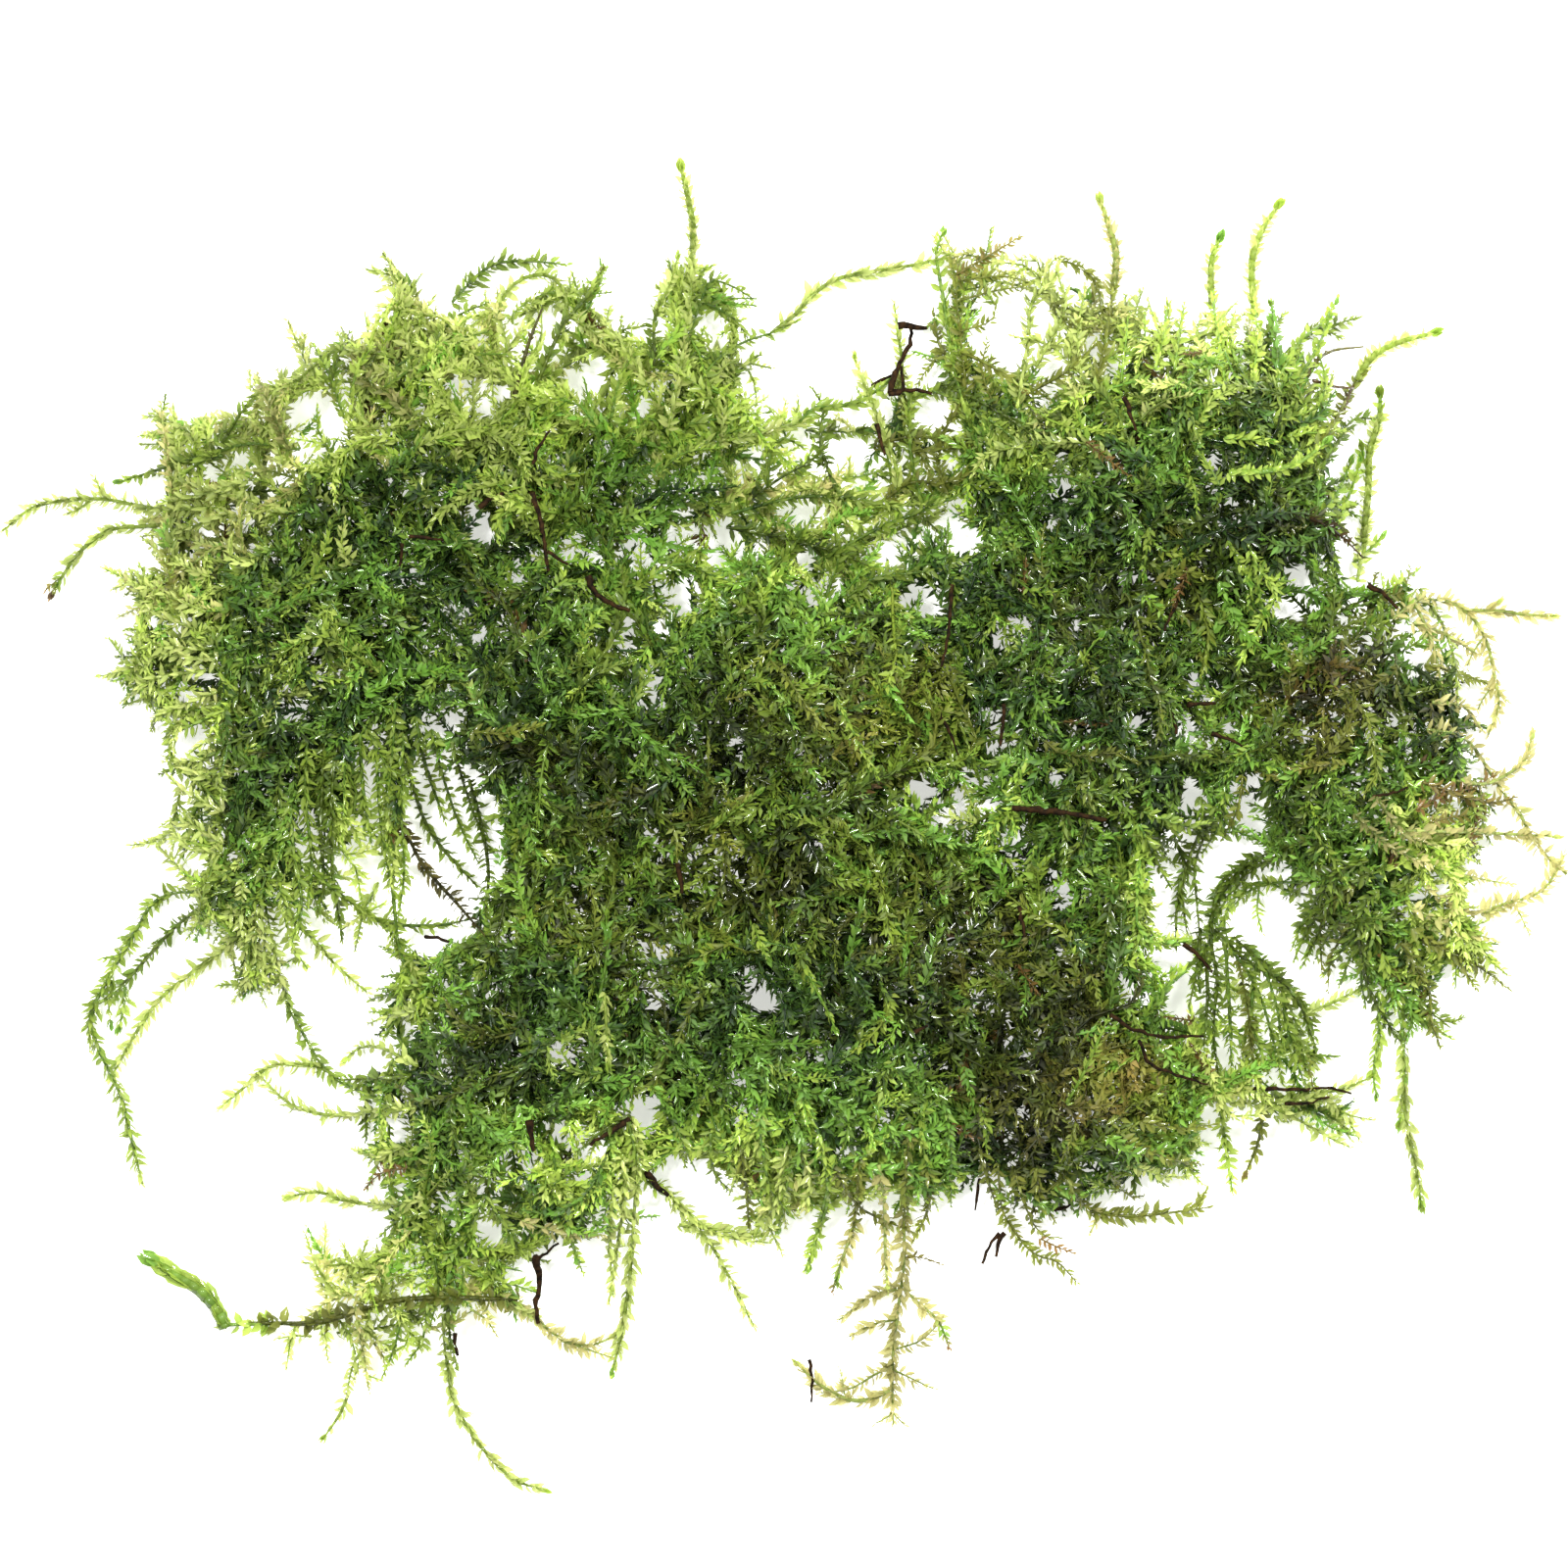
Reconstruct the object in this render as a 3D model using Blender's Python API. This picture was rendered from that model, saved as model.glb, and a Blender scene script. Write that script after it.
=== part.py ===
"""A loose clump of water moss, drained and laid on a table.

The clump is a flat heap of interlaced leafy shoots. Its tufts are modelled as
closed mounds with a flat underside, each a few millimetres thick at its rim.
The shoots that trail out past the tufts are round strands that lie on the
table, and the dead stems are thin bare sticks. +X is the long side of the
heap, +Z is up, and the origin is under the middle of the heap, on the table.
"""

import math
from dataclasses import dataclass

import bmesh
import bpy
from mathutils import Vector, noise
from mathutils.geometry import delaunay_2d_cdt

# Driving dimensions, in millimetres.
MM = 0.001
TUFT_GAP = 0.6           # clear space between two neighbouring tufts
RIM_HEIGHT = 2.2         # thickness of a tuft where its shoots thin out
SKIN_STEP = 5.6          # spacing of the points that shape a tuft's top
SKIN_MARGIN = 2.6        # how far those points stay from the tuft's outline
LUMP_HEIGHT = 1.1        # how far the top rises and falls from shoot to shoot
LUMP_SIZE = 7.0          # distance from one lump to the next
HEAP_BLEND = 3.0         # how sharply two heaps meet in a valley
HEAP_CROWN = 1.5         # how flat a heap's crown is, 1 for a bell, more for a loaf
STRAND_RADIUS = 1.1      # half the width of a shoot with its leaves pressed on
TIP_TAPER = 0.75         # tip radius of a strand over its radius
DEAD_STEM_RADIUS = 0.34  # half the thickness of a bare dead stem
ROUND_SIDES = 1          # bevel resolution of the strands, six sides


@dataclass(frozen=True)
class Finish:
    """Colour and surface of one kind of moss."""

    name: str
    colour: tuple
    roughness: float


FRESH = Finish("fresh_moss", (0.33, 0.55, 0.08), 0.42)
MATURE = Finish("mature_moss", (0.11, 0.26, 0.035), 0.45)
SHADED = Finish("shaded_moss", (0.035, 0.11, 0.02), 0.5)
OLIVE = Finish("olive_moss", (0.16, 0.2, 0.035), 0.5)
YELLOWING = Finish("yellowing_moss", (0.42, 0.47, 0.08), 0.45)
DEAD = Finish("dead_stem", (0.035, 0.015, 0.01), 0.6)


@dataclass(frozen=True)
class Tuft:
    """One mound of interlaced shoots.

    The outline runs anticlockwise and shares its corners with its
    neighbours'. The heap is where the mound is highest: x, y, its height over
    the rim, and how far it reaches along x and y.
    """

    name: str
    finish: Finish
    heap: tuple
    outline: tuple


TUFTS = (
    Tuft("tuft_upper_left", FRESH, (-40.0, 34.5, 8.5, 20.0, 15.0), (
        (-60.0, 27.5), (-52.0, 26.5), (-40.0, 27.0), (-30.0, 27.0), (-29.0, 36.0), (-29.5, 41.5),
        (-27.5, 46.0), (-28.2, 50.5), (-33.0, 51.5), (-36.6, 54.0), (-38.5, 54.0), (-39.8, 46.6),
        (-42.0, 47.8), (-45.3, 46.2), (-47.0, 43.4), (-50.8, 43.6), (-53.0, 40.5), (-56.8, 38.2),
        (-58.2, 41.0), (-61.5, 40.6), (-60.6, 35.0), (-60.4, 31.0))),
    Tuft("tuft_upper_middle", FRESH, (-15.5, 35.0, 9.0, 17.0, 16.0), (
        (-30.0, 27.0), (-22.0, 25.0), (-12.0, 24.0), (-4.0, 26.0), (-3.5, 31.0), (-5.0, 35.5),
        (-1.0, 39.5), (-3.0, 42.5), (-3.4, 47.0), (-3.0, 51.4), (-7.5, 54.0), (-11.5, 54.2),
        (-13.6, 47.5), (-16.8, 49.5), (-17.0, 53.6), (-20.0, 52.2), (-24.5, 52.4), (-26.6, 50.0),
        (-27.5, 46.0), (-29.5, 41.5), (-29.0, 36.0))),
    Tuft("tuft_upper_bridge", FRESH, (6.0, 31.0, 5.5, 13.0, 10.0), (
        (-4.0, 26.0), (0.0, 23.0), (8.0, 22.5), (19.5, 24.5), (19.0, 32.0), (19.5, 38.5),
        (13.5, 41.2), (10.0, 42.6), (3.2, 41.8), (-1.0, 39.5), (-5.0, 35.5), (-3.5, 31.0))),
    Tuft("tuft_feather", OLIVE, (22.0, 45.0, 4.0, 10.0, 10.0), (
        (13.5, 41.2), (19.5, 38.5), (26.0, 40.0), (30.0, 41.0), (31.5, 47.0), (30.5, 51.8),
        (28.5, 54.6), (25.0, 55.2), (23.2, 57.2), (19.0, 55.8), (15.6, 57.9), (14.0, 56.2),
        (14.8, 50.0), (14.4, 46.5))),
    Tuft("tuft_upper_right", SHADED, (38.0, 34.0, 13.0, 17.5, 15.0), (
        (19.5, 24.5), (27.0, 23.0), (36.0, 23.5), (44.0, 22.0), (48.5, 25.5), (54.8, 26.4),
        (54.0, 29.2), (52.2, 33.0), (54.2, 38.5), (53.0, 44.0), (53.6, 50.8), (49.5, 48.6),
        (47.4, 50.0), (45.6, 48.2), (41.0, 50.0), (37.6, 50.2), (33.4, 50.4), (31.5, 47.0),
        (30.0, 41.0), (26.0, 40.0), (19.5, 38.5), (19.0, 32.0))),
    Tuft("tuft_left_fan", MATURE, (-47.0, 18.0, 9.0, 16.0, 13.0), (
        (-59.8, 9.5), (-52.0, 8.0), (-44.5, 8.5), (-37.5, 9.0), (-37.0, 16.0), (-38.5, 22.0),
        (-40.0, 27.0), (-52.0, 26.5), (-60.0, 27.5), (-64.4, 23.6), (-61.6, 21.0), (-62.6, 18.4),
        (-65.4, 14.6), (-63.2, 12.0))),
    Tuft("tuft_left_hanging", MATURE, (-51.0, -1.0, 7.5, 8.5, 15.0), (
        (-52.0, 8.0), (-59.8, 9.5), (-59.8, 5.0), (-58.0, 2.0), (-60.2, -2.0), (-57.6, -5.0),
        (-57.2, -9.8), (-53.2, -11.6), (-52.4, -16.0), (-48.8, -15.4), (-45.6, -10.4),
        (-44.8, -2.0), (-44.5, 8.5))),
    Tuft("tuft_left_curtain", FRESH, (-39.5, 2.0, 3.5, 6.0, 11.0), (
        (-44.5, 8.5), (-44.8, -2.0), (-42.0, -10.8), (-36.2, -14.6), (-35.6, -5.0), (-34.6, 4.0),
        (-35.6, 9.0), (-37.5, 9.0))),
    Tuft("tuft_centre_left", MATURE, (-22.0, 9.0, 12.5, 15.0, 18.0), (
        (-30.0, 27.0), (-40.0, 27.0), (-38.5, 22.0), (-37.0, 16.0), (-37.5, 9.0), (-35.6, 9.0),
        (-31.0, 5.0), (-28.4, 2.0), (-27.6, -2.0), (-30.0, -6.0), (-30.5, -8.8), (-22.0, -10.0),
        (-12.0, -9.0), (-10.0, 0.0), (-10.0, 10.0), (-9.0, 17.0), (-8.0, 23.0), (-12.0, 24.0),
        (-22.0, 25.0))),
    Tuft("tuft_centre", OLIVE, (4.0, 7.0, 14.5, 18.0, 18.0), (
        (-12.0, -9.0), (-2.0, -8.0), (8.0, -7.5), (17.0, -6.0), (18.0, 2.0), (18.5, 12.0),
        (19.5, 24.5), (8.0, 22.5), (0.0, 23.0), (-4.0, 26.0), (-12.0, 24.0), (-8.0, 23.0),
        (-9.0, 17.0), (-10.0, 10.0), (-10.0, 0.0))),
    Tuft("tuft_centre_right", SHADED, (29.0, 8.0, 12.5, 14.0, 18.0), (
        (17.0, -6.0), (22.0, -8.0), (28.0, -11.0), (34.0, -11.0), (35.4, -7.0), (36.4, -1.6),
        (40.5, 0.4), (42.0, 6.0), (43.0, 14.0), (44.0, 22.0), (36.0, 23.5), (27.0, 23.0),
        (19.5, 24.5), (18.5, 12.0), (18.0, 2.0))),
    Tuft("tuft_right", OLIVE, (54.0, 7.0, 11.5, 12.5, 18.0), (
        (43.0, 14.0), (42.0, 6.0), (40.5, 0.4), (46.0, -3.0), (50.0, -6.0), (52.2, -10.4),
        (55.6, -16.4), (59.4, -20.8), (63.6, -20.6), (63.2, -14.2), (66.0, -14.0), (69.4, -15.4),
        (68.2, -10.4), (65.6, -6.0), (66.6, -2.0), (68.2, 3.2), (65.8, 6.0), (66.2, 10.0),
        (64.8, 14.0), (64.2, 19.0), (61.6, 20.6), (60.4, 24.4), (56.4, 24.6), (48.5, 25.5),
        (44.0, 22.0))),
    Tuft("tuft_lower_left", SHADED, (-25.0, -22.0, 12.0, 15.0, 17.0), (
        (-30.5, -8.8), (-34.0, -11.0), (-37.4, -15.2), (-39.6, -17.4), (-38.0, -20.8),
        (-40.0, -24.6), (-38.6, -28.0), (-41.2, -31.0), (-38.2, -33.6), (-38.9, -39.2),
        (-34.0, -41.2), (-29.0, -41.2), (-24.5, -40.6), (-21.0, -42.6), (-16.0, -39.6),
        (-13.6, -38.4), (-13.0, -34.6), (-9.5, -31.5), (-11.0, -28.0), (-11.5, -18.0),
        (-12.0, -9.0), (-22.0, -10.0))),
    Tuft("tuft_lower_middle", SHADED, (4.0, -18.0, 14.0, 18.0, 17.0), (
        (-12.0, -9.0), (-11.5, -18.0), (-11.0, -28.0), (-9.5, -31.5), (-5.6, -34.6), (-2.4, -38.8),
        (2.0, -37.6), (5.0, -37.0), (10.0, -36.8), (15.0, -36.0), (18.0, -33.0), (17.5, -26.0),
        (18.0, -16.0), (17.0, -6.0), (8.0, -7.5), (-2.0, -8.0))),
    Tuft("tuft_lower_right", OLIVE, (28.0, -20.0, 13.0, 13.0, 15.0), (
        (17.0, -6.0), (18.0, -16.0), (17.5, -26.0), (18.0, -33.0), (21.0, -36.4), (25.0, -37.6),
        (29.0, -35.4), (36.0, -34.6), (40.0, -32.8), (41.5, -28.0), (38.5, -22.0), (36.5, -15.0),
        (34.0, -11.0), (28.0, -11.0), (22.0, -8.0))),
    Tuft("tuft_lower_corner", FRESH, (43.5, -20.0, 6.0, 8.0, 10.0), (
        (36.5, -15.0), (38.5, -22.0), (41.5, -28.0), (45.6, -29.4), (49.6, -29.6), (54.0, -30.4),
        (55.6, -27.0), (50.4, -23.6), (51.0, -20.6), (50.0, -16.4), (46.0, -12.0), (42.0, -9.0),
        (37.4, -9.4))),
    Tuft("tuft_bottom_left", FRESH, (-36.0, -46.0, 3.6, 11.0, 6.5), (
        (-38.9, -39.8), (-42.6, -39.4), (-46.6, -38.8), (-45.6, -44.6), (-49.4, -46.0),
        (-48.8, -51.8), (-44.0, -51.0), (-41.4, -54.6), (-37.0, -52.4), (-31.0, -51.8),
        (-29.0, -48.0), (-25.2, -46.6), (-25.6, -42.4), (-29.0, -41.9), (-34.0, -41.9))),
)


@dataclass(frozen=True)
class Strand:
    """One shoot that trails out of the heap, as points x, y, z from its root to its tip."""

    name: str
    finish: Finish
    route: tuple
    radius: float = STRAND_RADIUS
    taper: float = TIP_TAPER


STRANDS = (
    Strand("shoot_far_left", FRESH, (
        (-62.2, 31.0, 2.6), (-65.6, 31.6, 2.1), (-69.5, 31.4, 1.7), (-72.4, 30.6, 1.4),
        (-74.8, 28.9, 1.2))),
    Strand("shoot_left_brown_tip", YELLOWING, (
        (-62.2, 28.1, 1.9), (-64.7, 28.2, 1.6), (-67.1, 26.9, 1.4), (-68.8, 24.9, 1.3),
        (-70.3, 22.3, 1.2))),
    Strand("shoot_top_spire", FRESH, (
        (-8.9, 55.6, 2.2), (-8.7, 57.6, 1.8), (-9.1, 59.9, 1.5), (-9.9, 63.4, 1.2))),
    Strand("shoot_upper_arc", MATURE, (
        (-29.8, 52.9, 3.0), (-27.6, 54.4, 2.7), (-24.5, 54.8, 2.0), (-21.2, 54.4, 1.4))),
    Strand("shoot_thin_arc", FRESH, (
        (-1.2, 47.6, 2.4), (1.2, 49.4, 2.6), (3.0, 51.4, 2.4), (5.4, 52.8, 2.0), (9.0, 53.5, 1.6),
        (12.2, 54.0, 1.3)), 0.8),
    Strand("shoot_tall_pale", YELLOWING, (
        (31.8, 53.2, 2.1), (31.9, 55.0, 1.8), (31.3, 57.4, 1.5), (30.4, 60.2, 1.2)), 0.9),
    Strand("shoot_bright_upright", FRESH, (
        (41.2, 51.7, 2.4), (41.0, 54.2, 2.0), (41.9, 56.7, 1.4))),
    Strand("shoot_bright_tall", FRESH, (
        (45.2, 50.8, 2.6), (44.9, 54.1, 2.2), (45.8, 57.2, 1.7), (47.4, 59.7, 1.3))),
    Strand("shoot_pale_reach", FRESH, (
        (55.4, 42.8, 2.4), (56.4, 45.0, 2.1), (58.9, 46.6, 1.6), (62.5, 47.6, 1.2))),
    Strand("shoot_right_upright", FRESH, (
        (56.3, 29.6, 2.3), (56.1, 32.7, 2.0), (56.2, 36.2, 1.7), (57.1, 39.2, 1.4),
        (57.2, 41.6, 1.2)), 0.9),
    Strand("shoot_yellow_arc", YELLOWING, (
        (64.4, 21.5, 2.3), (66.4, 19.8, 2.1), (67.6, 17.4, 1.9), (68.2, 14.5, 1.7),
        (68.6, 11.8, 1.4), (67.9, 9.4, 1.2)), 0.9),
    Strand("shoot_right_thin", YELLOWING, (
        (68.8, 20.9, 1.4), (71.0, 20.5, 1.3), (73.9, 20.3, 1.1)), 0.8),
    Strand("shoot_far_right", YELLOWING, (
        (70.6, 1.4, 2.0), (71.9, -1.0, 1.6), (73.3, -2.8, 1.4), (74.7, -4.1, 1.2)), 1.0),
    Strand("shoot_yellow_curl", YELLOWING, (
        (68.8, -7.6, 1.9), (71.2, -7.2, 1.6), (73.6, -7.2, 1.2))),
    Strand("shoot_right_trailing", FRESH, (
        (59.9, -22.6, 2.0), (59.5, -25.2, 1.8), (59.8, -28.6, 1.6), (60.6, -32.5, 1.4),
        (61.1, -36.4, 1.2)), 1.0),
    Strand("shoot_lower_bright", FRESH, (
        (42.4, -30.4, 1.9), (42.6, -32.4, 1.6), (43.0, -34.6, 1.2))),
    Strand("shoot_lower_level", OLIVE, (
        (31.0, -37.2, 1.9), (35.5, -37.1, 1.6), (40.6, -36.4, 1.2))),
    Strand("shoot_lower_curl", OLIVE, (
        (22.4, -39.2, 1.9), (24.2, -41.0, 1.7), (26.2, -41.6, 1.4), (28.0, -43.4, 1.2))),
    Strand("shoot_bottom_main", YELLOWING, (
        (11.5, -38.4, 2.4), (11.4, -42.0, 2.1), (10.9, -46.6, 1.8), (10.4, -51.7, 1.5),
        (10.5, -57.0, 1.3)), 1.3),
    Strand("shoot_bottom_left_branch", YELLOWING, (
        (8.0, -54.3, 1.4), (6.0, -54.7, 1.3), (3.4, -53.6, 1.2), (1.2, -51.4, 1.1)), 1.0),
    Strand("shoot_bottom_right_branch", YELLOWING, (
        (13.6, -46.4, 1.5), (14.9, -47.6, 1.3), (15.8, -49.6, 1.1)), 1.0),
    Strand("shoot_bottom_side", YELLOWING, (
        (6.4, -39.5, 1.9), (5.4, -41.7, 1.6), (4.8, -44.1, 1.2))),
    Strand("shoot_bottom_beaded", FRESH, (
        (-10.6, -36.0, 2.2), (-8.9, -37.8, 1.9), (-7.0, -40.0, 1.7), (-5.0, -43.6, 1.4),
        (-3.0, -47.6, 1.2))),
    Strand("shoot_bottom_long", FRESH, (
        (-14.6, -40.8, 2.0), (-14.9, -44.0, 1.7), (-15.7, -48.8, 1.4), (-16.5, -52.2, 1.1)), 0.9),
    Strand("shoot_bottom_curl", YELLOWING, (
        (-22.8, -48.0, 2.0), (-20.8, -49.5, 1.7), (-18.4, -49.9, 1.3))),
    Strand("shoot_bottom_tail", FRESH, (
        (-31.8, -54.2, 2.0), (-30.2, -57.3, 1.7), (-28.0, -60.2, 1.4), (-25.8, -61.9, 1.2),
        (-22.9, -62.8, 1.1)), 0.9),
    Strand("shoot_far_lower_left", MATURE, (
        (-51.0, -47.5, 2.0), (-53.3, -47.0, 1.9), (-55.5, -44.9, 1.7), (-57.9, -43.2, 1.5),
        (-60.3, -41.7, 1.3)), 1.3),
    Strand("shoot_left_level", FRESH, (
        (-40.6, -36.0, 2.0), (-42.4, -35.6, 1.7), (-44.8, -35.0, 1.4), (-47.8, -35.4, 1.2))),
    Strand("shoot_left_fork", FRESH, (
        (-47.5, -22.7, 1.9), (-49.8, -23.1, 1.7), (-51.7, -24.7, 1.4), (-54.0, -26.8, 1.2))),
    Strand("shoot_left_link", MATURE, (
        (-47.6, -17.6, 2.2), (-46.0, -20.0, 2.0), (-44.6, -22.4, 1.8), (-42.8, -24.3, 1.6))),
    Strand("shoot_left_inner_tip", FRESH, (
        (-43.9, -12.4, 2.0), (-42.2, -14.0, 1.6), (-40.3, -15.8, 1.2)), 1.0),
    Strand("shoot_left_outer", MATURE, (
        (-60.3, -7.4, 2.2), (-62.1, -9.7, 2.0), (-63.6, -12.2, 1.9), (-65.4, -15.4, 1.7),
        (-66.6, -18.3, 1.6), (-65.7, -21.6, 1.5), (-63.7, -25.6, 1.4), (-62.7, -29.6, 1.3),
        (-61.7, -33.9, 1.2))),
    Strand("shoot_left_pale", FRESH, (
        (-55.4, -13.0, 2.0), (-57.9, -14.7, 1.8), (-60.0, -16.5, 1.6), (-61.7, -18.9, 1.4),
        (-62.8, -20.8, 1.2)), 1.0),
    Strand("shoot_window_left", MATURE, (
        (38.5, -3.2, 2.4), (38.2, -5.2, 2.2), (38.3, -7.4, 2.0)), 1.0),
    Strand("shoot_window_right", MATURE, (
        (43.9, -3.6, 2.4), (42.2, -4.8, 2.2), (41.3, -7.0, 2.0)), 1.0),
    Strand("dead_stem_upright", DEAD, (
        (10.7, 43.9, 2.8), (11.5, 45.3, 3.1), (12.0, 46.9, 3.4)), DEAD_STEM_RADIUS, 1.0),
    Strand("dead_stem_crossbar", DEAD, (
        (10.9, 48.1, 3.6), (12.2, 48.1, 3.7), (13.6, 47.8, 3.6)), DEAD_STEM_RADIUS, 1.0),
    Strand("dead_stem_right", DEAD, (
        (51.8, -23.5, 1.2), (54.4, -23.9, 0.6)), DEAD_STEM_RADIUS, 1.0),
    Strand("dead_stem_bottom", DEAD, (
        (20.6, -38.8, 1.1), (19.9, -40.2, 0.8), (19.1, -41.8, 0.5)), DEAD_STEM_RADIUS, 1.0),
    Strand("dead_stem_lower_left", DEAD, (
        (-23.2, -43.2, 1.5), (-23.6, -44.8, 1.2), (-23.6, -46.6, 0.8)), 0.4, 1.0),
)


def clear_scene():
    """Remove every object, so that the script builds on an empty file."""
    for item in list(bpy.data.objects):
        bpy.data.objects.remove(item, do_unlink=True)


def moss_material(finish):
    """Return the Principled material of one finish, made the first time it is asked for."""
    material = bpy.data.materials.get(finish.name)
    if material is None:
        material = bpy.data.materials.new(finish.name)
        material.use_nodes = True
        shader = material.node_tree.nodes["Principled BSDF"]
        shader.inputs["Base Color"].default_value = (*finish.colour, 1.0)
        shader.inputs["Roughness"].default_value = finish.roughness
        shader.inputs["Metallic"].default_value = 0.0
    return material


def heap_height(x, y):
    """Height of the whole heap's top over the table at x, y, in millimetres."""
    total = 0.0
    for tuft in TUFTS:
        heap_x, heap_y, height, reach_x, reach_y = tuft.heap
        distance = ((x - heap_x) / reach_x) ** 2 + ((y - heap_y) / reach_y) ** 2
        total += (height * math.exp(-(distance ** HEAP_CROWN))) ** HEAP_BLEND
    lump = noise.noise(Vector((x / LUMP_SIZE, y / LUMP_SIZE, 0.0)))
    return RIM_HEIGHT + total ** (1.0 / HEAP_BLEND) * (1.0 + 0.1 * lump) + 0.5 * LUMP_HEIGHT * lump


def inset_outline(outline, distance):
    """Move every side of an anticlockwise outline inwards by a distance."""
    corners = [Vector(point) for point in outline]
    if signed_area(corners) < 0.0:
        corners.reverse()
    inset = []
    for index, corner in enumerate(corners):
        before = (corner - corners[index - 1]).normalized()
        after = (corners[(index + 1) % len(corners)] - corner).normalized()
        inward = Vector((-before.y, before.x)) + Vector((-after.y, after.x))
        spread = max(0.35, inward.length_squared / 2.0)
        inset.append(corner + inward * (distance / spread))
    return inset


def signed_area(corners):
    """Twice the area of an outline, positive when it runs anticlockwise."""
    return sum(a.cross(b) for a, b in zip(corners, corners[1:] + corners[:1]))


def edge_distance(point, corners):
    """Distance from a point to the nearest side of an outline."""
    nearest = math.inf
    for start, end in zip(corners, corners[1:] + corners[:1]):
        side = end - start
        along = min(1.0, max(0.0, (point - start).dot(side) / side.length_squared))
        nearest = min(nearest, (point - start - side * along).length)
    return nearest


def is_inside(point, corners):
    """Whether a point lies inside an outline, by counting the sides to its right."""
    inside = False
    for start, end in zip(corners, corners[1:] + corners[:1]):
        if (start.y > point.y) != (end.y > point.y):
            crossing = start.x + (point.y - start.y) * (end.x - start.x) / (end.y - start.y)
            inside = inside != (crossing > point.x)
    return inside


def skin_points(corners):
    """Staggered points inside an outline, which carry the shape of a tuft's top."""
    low = Vector((min(c.x for c in corners), min(c.y for c in corners)))
    high = Vector((max(c.x for c in corners), max(c.y for c in corners)))
    row_step = SKIN_STEP * math.sin(math.radians(60.0))
    points = []
    for row in range(int((high.y - low.y) / row_step) + 1):
        shift = SKIN_STEP * (0.75 if row % 2 else 0.25)
        for column in range(int((high.x - low.x) / SKIN_STEP) + 1):
            point = low + Vector((shift + column * SKIN_STEP, (row + 0.5) * row_step))
            if is_inside(point, corners) and edge_distance(point, corners) > SKIN_MARGIN:
                points.append(point)
    return points


def add_object(name, data, finish):
    """Link a mesh or curve as an object with its own name and finish."""
    item = bpy.data.objects.new(name, data)
    bpy.context.collection.objects.link(item)
    data.materials.append(moss_material(finish))
    return item


def build_tuft(tuft):
    """Build one tuft: a domed skin, a low wall round its rim and a flat underside."""
    corners = inset_outline(tuft.outline, TUFT_GAP / 2.0)
    sides = [(index, (index + 1) % len(corners)) for index in range(len(corners))]
    filled = delaunay_2d_cdt(corners + skin_points(corners), sides, [], 1, 1e-5)
    bm = bmesh.new()
    skin = [bm.verts.new((p.x * MM, p.y * MM, heap_height(p.x, p.y) * MM)) for p in filled[0]]
    for triangle in filled[2]:
        bm.faces.new([skin[index] for index in triangle])
    rim = [edge for edge in bm.edges if edge.is_boundary]
    wall = bmesh.ops.extrude_edge_only(bm, edges=rim)["geom"]
    for vert in (part for part in wall if isinstance(part, bmesh.types.BMVert)):
        vert.co.z = 0.0
    foot = [part for part in wall if isinstance(part, bmesh.types.BMEdge) and part.is_boundary]
    bmesh.ops.triangle_fill(bm, edges=foot, use_beauty=True)
    bmesh.ops.triangulate(bm, faces=bm.faces)
    bmesh.ops.recalc_face_normals(bm, faces=bm.faces)
    mesh = bpy.data.meshes.new(tuft.name)
    bm.to_mesh(mesh)
    bm.free()
    mesh.shade_smooth()
    mesh.set_sharp_from_angle(angle=math.radians(50.0))
    return add_object(tuft.name, mesh, tuft.finish)


def build_strand(strand):
    """Build one strand: a smooth tapering tube through its route, closed at both ends."""
    curve = bpy.data.curves.new(strand.name, "CURVE")
    curve.dimensions = "3D"
    curve.bevel_depth = strand.radius * MM
    curve.bevel_resolution = ROUND_SIDES
    curve.use_fill_caps = True
    curve.resolution_u = 2
    spline = curve.splines.new("BEZIER")
    spline.bezier_points.add(len(strand.route) - 1)
    last = len(strand.route) - 1
    for index, (knot, place) in enumerate(zip(spline.bezier_points, strand.route)):
        knot.co = Vector(place) * MM
        knot.handle_left_type = "AUTO"
        knot.handle_right_type = "AUTO"
        knot.radius = 1.0 + (strand.taper - 1.0) * index / last
    return add_object(strand.name, curve, strand.finish)


def main():
    """Build the tufts, then the strands and dead stems that lie round them."""
    clear_scene()
    for tuft in TUFTS:
        build_tuft(tuft)
    for strand in STRANDS:
        build_strand(strand)


main()
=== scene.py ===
"""Looks of a loose clump of water moss that lies drained on a pale table.

Every tuft and trailing shoot of the frame is replaced by real leafy shoots: a stem
of short joints with pointed, cupped leaves in two side rows and a few on its back.
Leaves and stem joints are moulded once and stamped along every shoot as joined meshes.
Sizes in the tables and in the classes that grow shoots are millimetres in the frame's own
axes unless they say otherwise, and colours are sRGB hex.
"""

import logging
import math
from dataclasses import dataclass, field
from enum import Enum

import bmesh
import bpy
import numpy as np
from mathutils import Matrix, Vector, noise
from mathutils.bvhtree import BVHTree


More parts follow.
